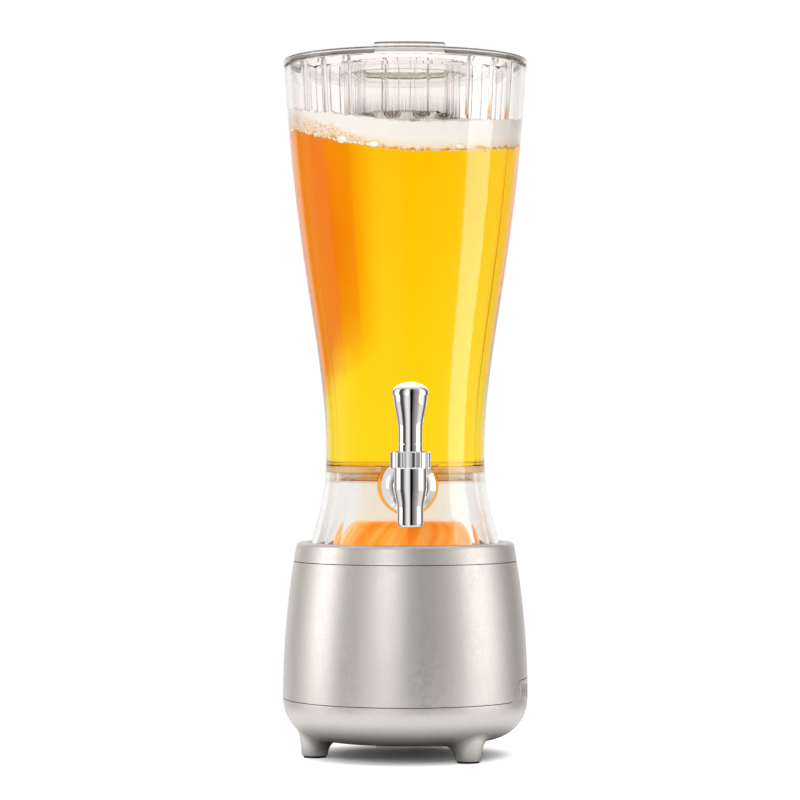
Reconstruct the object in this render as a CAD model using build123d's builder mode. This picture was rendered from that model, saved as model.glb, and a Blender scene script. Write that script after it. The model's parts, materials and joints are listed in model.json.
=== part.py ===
from build123d import *
import math
import os

# Beer tower: a clear waisted vessel with a front tap stands in the socket of a lit base.
# Millimetres and degrees. The origin is on the upright axis at table height, +Z is up,
# and the tap faces -Y.

# Fits shared by the pieces
run_gap = 0.06  # radial clearance of a pin that turns
press_gap = 0.02  # radial clearance of a screw or plug that stays put
loose_gap = 0.3  # clearance of faces that slide past each other
seam_gap = 0.5  # open line between two outer mouldings
overrun = 4.0  # how far a cut runs past the face that it leaves

# Base, outside form
base_radius = 82.5
base_wall = 2.6
seam_z = 39.0
collar_inset = 9.5
collar_high = 105.0
socket_deep = 13.0
deck_thick = 2.5
pan_floor_z = 12.0
pan_corner = 26.0
tongue_bearing = 10.0
tongue_inset = 28.8
tongue_high = 14.0
tongue_shoulder = 11.0
tongue_heel = 5.0
grip_rib_low = 2.0
grip_rib_high = 10.5
grip_rib_width = 1.7
grip_rib_proud = 0.7
grip_rib_bearings = [-34.0, -30.5, -27.0, -23.5, 23.5, 27.0, 30.5, 34.0]

# Feet, pads and the long screws
foot_inset = 20.5
foot_count = 3
foot_radius = 8.6
foot_flare = 9.0
foot_z = 1.5
foot_blend = 10.0
pad_radius = 7.5
pad_sink = 1.1
pad_plug_radius = 4.4
pad_plug_long = 4.0
foot_recess_radius = 4.6
screw_seat_thick = 1.0
screw_radius = 1.9
screw_head_radius = 3.6
screw_head_high = 2.4
screw_reach = 5.0
boss_radius = 5.0
boss_low = 12.0
boss_rise = 21.0
rib_thick = 2.5

# Collar and its screws
collar_land = 7.7
collar_wall = 2.4
collar_outer_round = 3.0
collar_inner_round = 1.2
collar_boss_inset = 4.1
collar_screw_count = 3
collar_boss_radius = 3.0
small_screw_radius = 1.3
small_head_radius = 2.6
small_head_high = 1.8
collar_screw_long = 10.0

# Lamp under the vessel
dome_inset = 16.0
dome_high = 27.6
dome_shoulder = 18.0
dome_wall = 2.0
dome_flange_reach = 5.0
dome_flange_thick = 2.0
tray_drop = 10.0
tray_thick = 2.0
tray_rim_wall = 3.0
ear_overhang = 2.5
ear_count = 3
ear_radius = 4.5
deck_boss_radius = 3.6
tray_screw_long = 7.0
board_inset = 16.5
board_thick = 1.6
led_inset = 11.0
led_radius = 2.5
led_high = 2.6
led_count = 6

# Cells, their holder and the door
cell_radius = 7.1
cell_long = 50.5
cell_pitch = 15.4
cell_count = 3
cell_rise = 10.0
holder_wall = 1.6
holder_high = 21.0
contact_thick = 1.2
contact_size = 9.0
door_thick = 2.0
door_margin = 3.0
rail_drop = 3.4
rail_thick = 1.2
rail_lip = 2.2
door_grip_width = 1.2
door_grip_proud = 0.8
door_grip_long = 24.0
door_grip_pitch = 3.0
door_grip_count = 3

# Lamp button, switch and leads
button_radius = 6.5
button_high = 7.0
button_proud = 1.2
button_round = 0.8
button_flange_radius = 8.3
button_flange_inset = 6.5
button_flange_cover = 4.1
plunger_radius = 1.7
plunger_inset = 12.0
switch_inset = 16.5
switch_deep = 7.0
switch_size = 12.0
switch_back = 3.0
post_thick = 3.0
post_width = 16.0
lead_radius = 0.9
lead_bend = 9.0
lead_apart = 5.0
lamp_lead_step = 12.0
lamp_lead_inset = 8.0
lamp_lead_rise = 45.0
switch_lead_start = 18.0
switch_lead_rise = 18.0

# Vessel
waist_inset = 11.0
skirt_high = 57.0
mouth_inset = 1.1
vessel_high = 267.8
rim_step = 2.0
rebate_step = 1.3
skirt_gap = 0.8
skirt_straight = 6.0
seat_ring_thick = 2.0
seat_ring_width = 5.3
vessel_wall = 3.2
floor_drop = 1.0
floor_thick = 4.0
floor_ring_drop = 9.5
floor_ring_inset = 5.5
floor_ring_wall = 2.5
strip_half_angle = 7.5
strip_extra_depth = 0.12
strip_bearings = [37.5, 52.5, 127.5, 142.5, 217.5, 232.5, 307.5, 322.5]
mouth_rib_bearings = [30, 45, 60, 120, 135, 150, 210, 225, 240, 300, 315, 330]
mouth_rib_width = 1.5
mouth_rib_high = 2.2
mouth_rib_bite = 1.0
# (share of the height, share of the radius) from the waist down to the skirt's end
skirt_shares = [(1.0, 1.0), (0.65, 0.52), (0.3, 0.127)]
# (share of the height, share of the radius) from the waist up to the mouth
wall_shares = [(0.163, 0.057), (0.415, 0.394), (0.667, 0.731), (0.844, 0.9), (1.0, 1.0)]

# Sump behind the tap
shank_drop = 12.0
sump_radius = 19.3
sump_wall = 2.5
seat_proud = 4.0
sump_front_wall = 3.0
sump_long = 40.0
sump_side_short = 12.5

# Tap
spout_clear = 10.0
shank_radius = 8.0
shank_bore_radius = 4.5
shank_hole_radius = 8.3
shank_inside = 13.0
gasket_thick = 1.5
outer_gasket_radius = 15.0
inner_gasket_radius = 12.4
nut_flats = 22.0
nut_thick = 6.0
rose_radius = 17.8
rose_edge = 2.2
rose_step_radius = 14.6
rose_step = 4.2
rose_neck_radius = 10.0
rose_short = 12.5
barrel_radius = 10.8
barrel_high = 11.6
barrel_drop = 2.0
spout_radius = 8.6
spout_neck_drop = 12.4
spout_drop = 26.1
barrel_blend = 18.0
spout_round = 2.4
spout_bore_radius = 6.0
seat_under_drop = 10.0
seat_drop = 7.0
seat_radius = 4.2
chamber_radius = 7.5
gland_sink = 0.1
gland_thick = 2.0
neck_radius = 10.4
neck_bore_radius = 8.25
neck_high = 9.0
neck_relief_radius = 9.5
neck_relief_deep = 3.2
bonnet_radius = 13.4
bonnet_high = 11.2
bonnet_lip_gap = 0.2
bonnet_lip_radius = 9.4
bonnet_mouth_radius = 10.4
bonnet_chamfer = 0.9
bonnet_flute_radius = 0.95
bonnet_flute_circle = 13.75
bonnet_flutes = 24

# Valve stem, seal and spring
stem_radius = 2.2
stem_lift = 3.0
stem_collar_radius = 5.2
stem_collar_rise = 8.6
stem_collar_thick = 1.4
arm_drop = 1.4
arm_thick = 2.2
arm_half_width = 2.4
arm_back = 6.6
cup_radius = 6.0
cup_nose_radius = 3.7
cup_nose_long = 1.6
cup_chamfer = 0.6
seat_lift_gap = 0.1
ring_minor = 0.72
spring_radius = 4.3
spring_wire = 0.45
spring_turns = 5

# Handle
pivot_sink = 1.2
pivot_pin_radius = 1.25
pivot_pin_inner = 3.1
pivot_pin_outer = 10.2
foot_ball_radius = 7.95
foot_flat_drop = 2.8
foot_band_rise = 7.8
foot_spigot_radius = 6.2
foot_spigot_long = 11.8
slot_half_width = 2.9
slot_front = 4.3
slot_back = 9.0
slot_rise = 4.2
lift_pin_radius = 0.9
lift_pin_back = 5.5
lift_pin_drop = 2.4
lift_pin_half = 4.7
grip_neck_radius = 7.9
grip_neck_rise = 8.8
grip_top_radius = 11.2
grip_cap_radius = 12.1
grip_cap_rise = 31.8
grip_cap_edge = 1.8
grip_crown = 8.6
grip_edge_round = 4.5
grip_line = 0.35
# (share of the height, share of the radius) from the neck up to the cap
grip_shares = [(0.35, 0.28), (0.7, 0.78)]

# Lid and ice cup
lid_proud = 0.6
lid_skirt_inset = 1.0
lid_low_gap = 0.4
lid_flange_thick = 1.8
lid_gasket_thick = 1.0
lid_plug_inset = 10.4
lid_plug_wall = 2.0
lid_plug_deep = 7.5
lid_deck_thick = 2.2
lid_hole_inset = 32.4
lid_hole_wall = 2.4
lid_hole_high = 5.7
lid_edge_round = 0.7
tab_half_angle = 16.5
tab_long = 7.0
tab_high = 2.8
tab_chamfer = 1.0
lid_gasket_width = 3.4
lid_gasket_inset = 1.5
cup_core_inset = 5.6
lobe_inset = 1.9
cup_lobe_radius = 6.0
cup_lobes = 10
cup_deep = 33.6
lobe_lift = 1.1
cup_wall = 1.8
cup_flange_over = 3.7
cup_flange_thick = 2.0

# Heights and radii, each tied to the piece that it belongs with
collar_top_z = seam_z + collar_high
deck_z = collar_top_z - socket_deep
tongue_top_z = seam_z + tongue_high
grip_rib_low_z = seam_z + grip_rib_low
grip_rib_high_z = seam_z + grip_rib_high
button_z = seam_z + button_high
boss_top_z = seam_z + boss_rise
screw_tip_z = seam_z + screw_reach
boss_split_z = pan_floor_z + boss_low
screw_seat_z = pan_floor_z + screw_seat_thick
cell_z = pan_floor_z + cell_rise
holder_top_z = pan_floor_z + holder_high
lamp_lead_step_z = holder_top_z + lamp_lead_rise
switch_lead_over_z = button_z + switch_lead_rise
collar_top_radius = base_radius - collar_inset
socket_radius = collar_top_radius - collar_land
collar_boss_circle = socket_radius + collar_boss_inset
tongue_half_width = base_radius - tongue_inset
foot_circle = base_radius - foot_inset
button_flange_inner = base_radius - button_flange_inset
button_flange_outer = base_radius - button_flange_cover
plunger_inner = base_radius - plunger_inset
switch_inner = base_radius - switch_inset
switch_outer = switch_inner + switch_deep
switch_bore_inner = switch_inner + switch_back
dome_top_z = deck_z + dome_high
tray_z = deck_z - tray_drop
skirt_radius = socket_radius - skirt_gap
dome_radius = skirt_radius - dome_inset
board_radius = dome_radius - board_inset
led_circle = board_radius - led_inset
lamp_lead_high = board_radius - lamp_lead_inset
lamp_lead_low = lamp_lead_high - lamp_lead_step
waist_radius = skirt_radius - waist_inset
mouth_radius = base_radius - mouth_inset
rebate_radius = mouth_radius - rebate_step
floor_ring_outer = waist_radius - floor_ring_inset
floor_ring_inner = floor_ring_outer - floor_ring_wall
tap_seat = waist_radius + seat_proud
sump_back = tap_seat - sump_long
sump_side_end = tap_seat - sump_side_short
shank_end = tap_seat - shank_inside
tap_reach = base_radius + spout_clear
rose_end = tap_reach - rose_short
lid_radius = mouth_radius + lid_proud
lid_skirt_inner = mouth_radius - lid_skirt_inset
lid_plug_radius = mouth_radius - lid_plug_inset
lid_hole_radius = lid_plug_radius - lid_hole_inset
tab_inner_radius = lid_radius - tab_long
lid_gasket_outer = mouth_radius - lid_gasket_inset
lid_gasket_inner = lid_gasket_outer - lid_gasket_width
cup_core_radius = lid_hole_radius - cup_core_inset
cup_lobe_circle = cup_core_radius - lobe_inset
cup_flange_radius = lid_hole_radius + cup_flange_over
seat_ring_outer = socket_radius - seam_gap
tray_radius = dome_radius + 2 * dome_flange_reach
tray_rim_radius = dome_radius + dome_flange_reach - seam_gap
skirt_bottom_z = deck_z + seat_ring_thick
skirt_top_z = skirt_bottom_z + skirt_straight
waist_z = skirt_top_z + skirt_high
mouth_z = waist_z + vessel_high
rim_top_z = mouth_z + rim_step
floor_top_z = waist_z - floor_drop
floor_ring_z = floor_top_z - floor_ring_drop
shank_z = floor_top_z - shank_drop
barrel_top_z = shank_z + barrel_high
barrel_low_z = shank_z - barrel_drop
spout_high_z = shank_z - spout_neck_drop
spout_z = shank_z - spout_drop
seat_under_z = shank_z - seat_under_drop
seat_z = shank_z - seat_drop
gland_z = barrel_top_z - gland_sink
neck_top_z = barrel_top_z + neck_high
neck_relief_z = neck_top_z - neck_relief_deep
bonnet_top_z = barrel_top_z + bonnet_high
bonnet_lip_z = neck_top_z + bonnet_lip_gap
stem_low_z = seat_z + stem_lift
stem_collar_z = seat_z + stem_collar_rise
pivot_z = neck_top_z - pivot_sink
arm_z = pivot_z - arm_drop
foot_flat_z = pivot_z - foot_flat_drop
foot_band_z = pivot_z + foot_band_rise
foot_spigot_z = foot_band_z + foot_spigot_long
slot_roof_z = pivot_z + slot_rise
lift_pin_z = pivot_z - lift_pin_drop
grip_neck_z = foot_band_z + grip_neck_rise
grip_cap_z = foot_band_z + grip_cap_rise
grip_top_z = grip_cap_z + grip_crown
lid_low_z = mouth_z + lid_low_gap
lid_flange_z = rim_top_z + lid_gasket_thick
lid_top_z = lid_flange_z + lid_flange_thick
lid_plug_z = rim_top_z - lid_plug_deep
lid_hole_top_z = lid_plug_z + lid_hole_high
tab_top_z = lid_top_z + tab_high
cup_floor_z = lid_hole_top_z - cup_deep
cup_lobe_z = cup_floor_z + lobe_lift
seat_ring_inner = seat_ring_outer - seat_ring_width
ear_circle = tray_radius + ear_overhang

# Derived values
side_arc = (
    (base_radius - collar_top_radius) ** 2 + (collar_top_z - seam_z) ** 2
) / (2 * (base_radius - collar_top_radius))
deck_under_z = deck_z - deck_thick
floor_under_z = floor_top_z - floor_thick
sump_inner_radius = sump_radius - sump_wall
tray_top_z = tray_z + tray_thick
flange_under_z = deck_under_z - dome_flange_thick
dome_hole_radius = dome_radius + loose_gap
holder_inner_long = cell_long + 2 * contact_thick
holder_inner_wide = cell_count * cell_pitch
holder_long = holder_inner_long + 2 * holder_wall
holder_wide = holder_inner_wide + 2 * holder_wall
pan_inner_z = pan_floor_z + base_wall
door_long = holder_inner_long + 2 * door_margin
door_wide = holder_inner_wide + 2 * door_margin
gasket_face = tap_seat + gasket_thick
inner_seat = tap_seat - sump_front_wall
nut_face = inner_seat - gasket_thick
lid_deck_z = lid_plug_z + lid_deck_thick
reach = base_radius + overrun


def side_radius(height, inset):
    """Radius of the base's bowed side at a height, set in by a wall."""
    return base_radius - side_arc + math.sqrt(
        (side_arc - inset) ** 2 - (height - seam_z) ** 2
    )


def upright_plane(bearing):
    """Plane through the axis: local x runs out at the bearing, local y runs up."""
    turn = math.radians(bearing)
    return Plane(
        origin=(0, 0, 0),
        x_dir=(math.cos(turn), math.sin(turn), 0),
        z_dir=(math.sin(turn), -math.cos(turn), 0),
    )


def facing_plane(bearing, distance):
    """Plane that faces out at the bearing: local x runs across, local y runs up."""
    turn = math.radians(bearing)
    return Plane(
        origin=(distance * math.cos(turn), distance * math.sin(turn), 0),
        x_dir=(-math.sin(turn), math.cos(turn), 0),
        z_dir=(math.cos(turn), math.sin(turn), 0),
    )


def parting_line(grow, far_z):
    """Outline from the line where shell and pan meet, with its tongue, to a far height."""
    seam = seam_z + grow
    half = tongue_half_width + grow
    top = tongue_top_z + grow
    heel = tongue_heel - grow
    shoulder = tongue_shoulder + grow
    return FilletPolyline(
        (-reach, far_z),
        (-reach, seam),
        (-half, seam),
        (-half, top),
        (half, top),
        (half, seam),
        (reach, seam),
        (reach, far_z),
        radius=[0, 0, heel, shoulder, shoulder, heel, 0, 0],
        close=True,
    )


def vessel_points(inset):
    """Points of the vessel's wall from the skirt's end up to the mouth, set in by a wall."""
    skirt = [
        (
            waist_radius + r * (skirt_radius - waist_radius) - inset,
            waist_z - h * (waist_z - skirt_top_z),
        )
        for h, r in skirt_shares
    ]
    wall = [
        (
            waist_radius + r * (mouth_radius - waist_radius) - inset,
            waist_z + h * (mouth_z - waist_z),
        )
        for h, r in wall_shares
    ]
    return skirt + [(waist_radius - inset, waist_z)] + wall


def strip_points():
    """Points of the flat of a strip, seen along its face."""
    flat = math.cos(math.radians(strip_half_angle))
    return [(r * flat - strip_extra_depth, z) for r, z in vessel_points(0)]


base_plane = Plane.XY.rotated((0, 0, tongue_bearing))
tongue_plane = facing_plane(tongue_bearing, 0)
front = -90
tap_plane = Plane.XZ.offset(tap_reach)
tap_axis = Axis((0, -tap_reach, 0), (0, 0, 1))
shank_plane = Plane(origin=(0, 0, shank_z), x_dir=(0, -1, 0), z_dir=(-1, 0, 0))
shank_axis = Axis((0, 0, shank_z), (0, -1, 0))
feet_at = PolarLocations(foot_circle, foot_count, start_angle=tongue_bearing + 180 / foot_count)
collar_screws_at = PolarLocations(collar_boss_circle, collar_screw_count, start_angle=tongue_bearing)
ears_at = PolarLocations(ear_circle, ear_count, start_angle=tongue_bearing + 180 / ear_count)

# Base shell: bowed side with the lamp deck across its top
shell_low_z = seam_z - overrun
with BuildPart() as base_shell:
    with BuildSketch(Plane.XZ):
        with BuildLine():
            side = ThreePointArc(
                (side_radius(shell_low_z, 0), shell_low_z),
                (side_radius((shell_low_z + deck_z) / 2, 0), (shell_low_z + deck_z) / 2),
                (side_radius(deck_z, 0), deck_z),
            )
            Polyline(
                side @ 1,
                (dome_hole_radius, deck_z),
                (dome_hole_radius, deck_under_z),
                (side_radius(deck_under_z, base_wall), deck_under_z),
            )
            inside = ThreePointArc(
                (side_radius(deck_under_z, base_wall), deck_under_z),
                (
                    side_radius((shell_low_z + deck_under_z) / 2, base_wall),
                    (shell_low_z + deck_under_z) / 2,
                ),
                (side_radius(shell_low_z, base_wall), shell_low_z),
            )
            Line(inside @ 1, side @ 0)
        make_face()
    revolve(axis=Axis.Z)
    with BuildSketch(tongue_plane):
        with BuildLine():
            parting_line(seam_gap, shell_low_z - overrun)
        make_face()
    extrude(amount=reach, mode=Mode.SUBTRACT)
    with BuildSketch(Plane.XY.offset(shell_low_z - overrun)):
        Circle(reach)
        with BuildSketch(base_plane, mode=Mode.PRIVATE) as front_half:
            Rectangle(reach, 2 * reach, align=(Align.MIN, Align.CENTER))
        add(front_half.sketch, mode=Mode.SUBTRACT)
    extrude(amount=seam_z + seam_gap - shell_low_z + overrun, mode=Mode.SUBTRACT)
    with BuildSketch(Plane.XY.offset(boss_split_z)):
        with feet_at:
            Circle(boss_radius)
    extrude(amount=boss_top_z - boss_split_z)
    with BuildSketch(Plane.XY.offset(seam_z + overrun)):
        with feet_at:
            Rectangle(base_radius - base_wall / 2 - foot_circle, rib_thick, align=(Align.MIN, Align.CENTER))
    extrude(amount=boss_top_z - seam_z - overrun)
    with BuildSketch(Plane.XY.offset(boss_split_z)):
        with feet_at:
            Circle(screw_radius + press_gap)
    extrude(amount=screw_tip_z + overrun - boss_split_z, mode=Mode.SUBTRACT)
    with BuildSketch(Plane.XY.offset(tray_top_z)):
        with ears_at:
            Circle(deck_boss_radius)
    extrude(amount=deck_under_z - tray_top_z)
    with BuildSketch(Plane.XY.offset(tray_top_z)):
        with ears_at:
            Circle(small_screw_radius + press_gap)
    extrude(amount=tray_screw_long - tray_thick, mode=Mode.SUBTRACT)
    with BuildSketch(Plane.XY.offset(deck_under_z)):
        with collar_screws_at:
            Circle(small_screw_radius + loose_gap)
    extrude(amount=deck_thick, mode=Mode.SUBTRACT)
base_shell.part.label = "base_shell"

# Collar: hollow ring with the socket for the vessel's skirt
collar_low_z = deck_z + seam_gap
collar_roof_z = collar_top_z - collar_wall
with BuildPart() as base_collar:
    with BuildSketch(Plane.XZ) as collar_section:
        with BuildLine():
            side = ThreePointArc(
                (side_radius(collar_low_z, 0), collar_low_z),
                (side_radius((collar_low_z + collar_top_z) / 2, 0), (collar_low_z + collar_top_z) / 2),
                (collar_top_radius, collar_top_z),
            )
            Polyline(
                side @ 1,
                (socket_radius, collar_top_z),
                (socket_radius, deck_z),
                (socket_radius + collar_wall, deck_z),
                (socket_radius + collar_wall, collar_roof_z),
                (side_radius(collar_roof_z, collar_wall), collar_roof_z),
                (side_radius(collar_low_z, collar_wall), collar_low_z),
                side @ 0,
            )
        make_face()
        fillet(collar_section.vertices().group_by(Axis.Y)[-1].sort_by(Axis.X)[-1], collar_outer_round)
        fillet(collar_section.vertices().group_by(Axis.Y)[-1].sort_by(Axis.X)[0], collar_inner_round)
    revolve(axis=Axis.Z)
    with BuildSketch(Plane.XY.offset(deck_z)):
        with collar_screws_at:
            Circle(collar_boss_radius)
    extrude(amount=collar_roof_z - deck_z)
    with BuildSketch(Plane.XY.offset(deck_z)):
        with collar_screws_at:
            Circle(small_screw_radius + press_gap)
    extrude(amount=collar_screw_long - deck_thick + loose_gap, mode=Mode.SUBTRACT)
base_collar.part.label = "base_collar"

# Bottom pan: rounded bottom, three feet, tongue, door rails and switch post
pan_high_z = tongue_top_z + overrun
corner_z = pan_floor_z + pan_corner
corner_in = base_radius - pan_corner
with BuildPart() as bottom_pan:
    with BuildSketch(Plane.XZ):
        with BuildLine():
            floor_line = Line((0, pan_floor_z), (corner_in, pan_floor_z))
            corner = CenterArc((corner_in, corner_z), pan_corner, 270, 90)
            Line(corner @ 1, (base_radius, seam_z))
            side = ThreePointArc(
                (base_radius, seam_z),
                (side_radius((seam_z + pan_high_z) / 2, 0), (seam_z + pan_high_z) / 2),
                (side_radius(pan_high_z, 0), pan_high_z),
            )
            Polyline(side @ 1, (0, pan_high_z), floor_line @ 0)
        make_face()
    revolve(axis=Axis.Z)
    with BuildSketch(Plane.XY.offset(foot_z)):
        with feet_at:
            Circle(foot_radius)
    extrude(amount=boss_split_z - foot_z, taper=-foot_flare)
    joins = [
        edge
        for edge in bottom_pan.edges(Select.LAST)
        if edge.bounding_box().min.Z > pan_floor_z - press_gap
    ]
    fillet(joins, foot_blend)
    with BuildSketch(Plane.XZ):
        with BuildLine():
            floor_line = Line((0, pan_inner_z), (corner_in, pan_inner_z))
            corner = CenterArc((corner_in, corner_z), pan_corner - base_wall, 270, 90)
            Line(corner @ 1, (base_radius - base_wall, seam_z))
            side = ThreePointArc(
                (base_radius - base_wall, seam_z),
                (side_radius((seam_z + pan_high_z) / 2, base_wall), (seam_z + pan_high_z) / 2),
                (side_radius(pan_high_z, base_wall), pan_high_z),
            )
            Polyline(side @ 1, (0, pan_high_z), floor_line @ 0)
        make_face()
    revolve(axis=Axis.Z, mode=Mode.SUBTRACT)
    with BuildSketch(tongue_plane):
        with BuildLine():
            parting_line(0, pan_high_z + overrun)
        make_face()
    extrude(amount=reach, mode=Mode.SUBTRACT)
    with BuildSketch(Plane.XY.offset(seam_z)):
        Circle(reach)
        with BuildSketch(base_plane, mode=Mode.PRIVATE) as front_half:
            Rectangle(reach, 2 * reach, align=(Align.MIN, Align.CENTER))
        add(front_half.sketch, mode=Mode.SUBTRACT)
    extrude(amount=pan_high_z - seam_z + overrun, mode=Mode.SUBTRACT)
    with BuildSketch(Plane.XY.offset(screw_seat_z)):
        with feet_at:
            Circle(boss_radius)
    extrude(amount=boss_split_z - screw_seat_z)
    with BuildSketch(Plane.XY.offset(foot_z)):
        with feet_at:
            Circle(foot_recess_radius)
    extrude(amount=screw_seat_z - foot_z, mode=Mode.SUBTRACT)
    with BuildSketch(Plane.XY.offset(foot_z)):
        with feet_at:
            Circle(pad_radius + press_gap)
    extrude(amount=pad_sink, mode=Mode.SUBTRACT)
    with BuildSketch(Plane.XY.offset(screw_seat_z)):
        with feet_at:
            Circle(screw_radius + loose_gap)
    extrude(amount=boss_split_z - screw_seat_z, mode=Mode.SUBTRACT)
    with BuildSketch(base_plane.offset(pan_floor_z)):
        Rectangle(holder_inner_wide, holder_inner_long)
    extrude(amount=base_wall, mode=Mode.SUBTRACT)
    rail_out = door_long / 2 + loose_gap + rail_thick
    with BuildSketch(base_plane.offset(pan_floor_z - rail_drop)):
        with Locations((0, rail_out), (0, -rail_out)):
            Rectangle(door_wide, 2 * rail_thick)
    extrude(amount=rail_drop)
    with BuildSketch(base_plane.offset(pan_floor_z - rail_drop)):
        for side_sign in (1, -1):
            with Locations((0, side_sign * (rail_out - rail_lip / 2))):
                Rectangle(door_wide, rail_lip)
    extrude(amount=rail_thick - loose_gap)
    with BuildSketch(base_plane.offset(pan_floor_z + base_wall / 2)):
        with Locations((switch_inner - post_thick / 2, 0)):
            Rectangle(post_thick, post_width)
    extrude(amount=button_z + switch_size / 2 - pan_floor_z - base_wall / 2)
    with BuildSketch(facing_plane(tongue_bearing, button_flange_outer)):
        with Locations((0, button_z)):
            Circle(button_radius + loose_gap)
    extrude(amount=reach - button_flange_outer, mode=Mode.SUBTRACT)
    for rib_bearing in grip_rib_bearings:
        with BuildSketch(facing_plane(tongue_bearing + rib_bearing, base_radius - base_wall / 2)):
            with Locations((0, (grip_rib_low_z + grip_rib_high_z) / 2)):
                SlotOverall(grip_rib_high_z - grip_rib_low_z, grip_rib_width, rotation=90)
        extrude(amount=base_wall / 2 + grip_rib_proud)
bottom_pan.part.label = "bottom_pan"

# Rubber pads, plugged into the screw recesses
with BuildPart() as foot_pads:
    with BuildSketch(Plane.XY):
        with feet_at:
            Circle(pad_radius)
    extrude(amount=foot_z + pad_sink)
    with BuildSketch(Plane.XY.offset(foot_z + pad_sink)):
        with feet_at:
            Circle(pad_plug_radius)
    extrude(amount=pad_plug_long)
foot_pads.part.label = "foot_pads"

# Screws up through the feet
with BuildPart() as base_screws:
    with BuildSketch(Plane.XY.offset(screw_seat_z - screw_head_high)):
        with feet_at:
            Circle(screw_head_radius)
    extrude(amount=screw_head_high)
    with BuildSketch(Plane.XY.offset(screw_seat_z)):
        with feet_at:
            Circle(screw_radius)
    extrude(amount=screw_tip_z - screw_seat_z)
base_screws.part.label = "base_screws"

# Screws from the deck up into the collar
with BuildPart() as collar_screws:
    with BuildSketch(Plane.XY.offset(deck_under_z - small_head_high)):
        with collar_screws_at:
            Circle(small_head_radius)
    extrude(amount=small_head_high)
    with BuildSketch(Plane.XY.offset(deck_under_z)):
        with collar_screws_at:
            Circle(small_screw_radius)
    extrude(amount=collar_screw_long)
collar_screws.part.label = "collar_screws"

# Lamp dome, clamped by its flange under the deck
shoulder_at = (dome_radius - dome_shoulder, dome_top_z - dome_shoulder)
with BuildPart() as lamp_dome:
    with BuildSketch(Plane.XZ):
        with BuildLine():
            outer_arc = CenterArc(shoulder_at, dome_shoulder, 0, 90)
            inner_arc = CenterArc(shoulder_at, dome_shoulder - dome_wall, 0, 90)
            Polyline(
                outer_arc @ 0,
                (dome_radius, deck_under_z),
                (dome_radius + dome_flange_reach, deck_under_z),
                (dome_radius + dome_flange_reach, flange_under_z),
                (dome_radius - dome_wall, flange_under_z),
                inner_arc @ 0,
            )
            Polyline(inner_arc @ 1, (0, dome_top_z - dome_wall), (0, dome_top_z), outer_arc @ 1)
        make_face()
    revolve(axis=Axis.Z)
lamp_dome.part.label = "lamp_dome"

# Tray that holds the dome and carries the lamp board
lead_holes = [(lamp_lead_high, lead_apart / 2), (lamp_lead_high, -lead_apart / 2)]
with BuildPart() as led_tray:
    with BuildSketch(Plane.XY.offset(tray_z)):
        Circle(tray_radius)
        with ears_at:
            Circle(ear_radius)
            Circle(small_screw_radius + loose_gap, mode=Mode.SUBTRACT)
    extrude(amount=tray_thick)
    with BuildSketch(base_plane.offset(tray_z)):
        with Locations(*lead_holes):
            Circle(lead_radius + loose_gap)
    extrude(amount=tray_thick, mode=Mode.SUBTRACT)
    with BuildSketch(Plane.XY.offset(tray_top_z)):
        Circle(tray_rim_radius)
        Circle(tray_rim_radius - tray_rim_wall, mode=Mode.SUBTRACT)
    extrude(amount=flange_under_z - tray_top_z)
led_tray.part.label = "led_tray"

# Screws of the tray
with BuildPart() as tray_screws:
    with BuildSketch(Plane.XY.offset(tray_z - small_head_high)):
        with ears_at:
            Circle(small_head_radius)
    extrude(amount=small_head_high)
    with BuildSketch(Plane.XY.offset(tray_z)):
        with ears_at:
            Circle(small_screw_radius)
    extrude(amount=tray_screw_long - loose_gap)
tray_screws.part.label = "tray_screws"

# Lamp board
with BuildPart() as led_board:
    with BuildSketch(Plane.XY.offset(tray_top_z)):
        Circle(board_radius)
    extrude(amount=board_thick)
led_board.part.label = "led_board"

# Lamps on the board
with BuildPart() as leds:
    with BuildSketch(Plane.XY.offset(tray_top_z + board_thick)):
        with PolarLocations(led_circle, led_count):
            Circle(led_radius)
    extrude(amount=led_high)
    chamfer(leds.edges().group_by(Axis.Z)[-1], led_radius / 3)
leds.part.label = "leds"

# Holder over the opening in the pan
with BuildPart() as battery_holder:
    with BuildSketch(base_plane.offset(pan_inner_z)):
        Rectangle(holder_wide, holder_long)
    extrude(amount=holder_top_z - pan_inner_z)
    with BuildSketch(base_plane.offset(pan_inner_z)):
        Rectangle(holder_inner_wide, holder_inner_long)
    extrude(amount=holder_top_z - holder_wall - pan_inner_z, mode=Mode.SUBTRACT)
battery_holder.part.label = "battery_holder"

# Contact plates at both ends of each cell
with BuildPart() as battery_contacts:
    with BuildSketch(base_plane.offset(cell_z - contact_size / 2)):
        with GridLocations(cell_pitch, cell_long + contact_thick, cell_count, 2):
            Rectangle(contact_size, contact_thick)
    extrude(amount=contact_size)
battery_contacts.part.label = "battery_contacts"

# Cells
cell_turn = math.radians(tongue_bearing)
with BuildPart() as batteries:
    for cell in range(cell_count):
        place = (cell - (cell_count - 1) / 2) * cell_pitch
        cell_plane = Plane(
            origin=(place * math.cos(cell_turn), place * math.sin(cell_turn), cell_z),
            z_dir=(-math.sin(cell_turn), math.cos(cell_turn), 0),
        )
        with BuildSketch(cell_plane.offset(-cell_long / 2)):
            Circle(cell_radius)
        extrude(amount=cell_long)
batteries.part.label = "batteries"

# Door that slides in the pan's rails
with BuildPart() as battery_door:
    with BuildSketch(base_plane.offset(pan_floor_z - door_thick)):
        Rectangle(door_wide, door_long)
    extrude(amount=door_thick)
    with BuildSketch(base_plane.offset(pan_floor_z - door_thick - door_grip_proud)):
        with Locations((door_wide / 2 - door_margin, 0)):
            with GridLocations(door_grip_pitch, 0, door_grip_count, 1):
                SlotOverall(door_grip_long, door_grip_width, rotation=90)
    extrude(amount=door_grip_proud)
battery_door.part.label = "battery_door"

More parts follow.
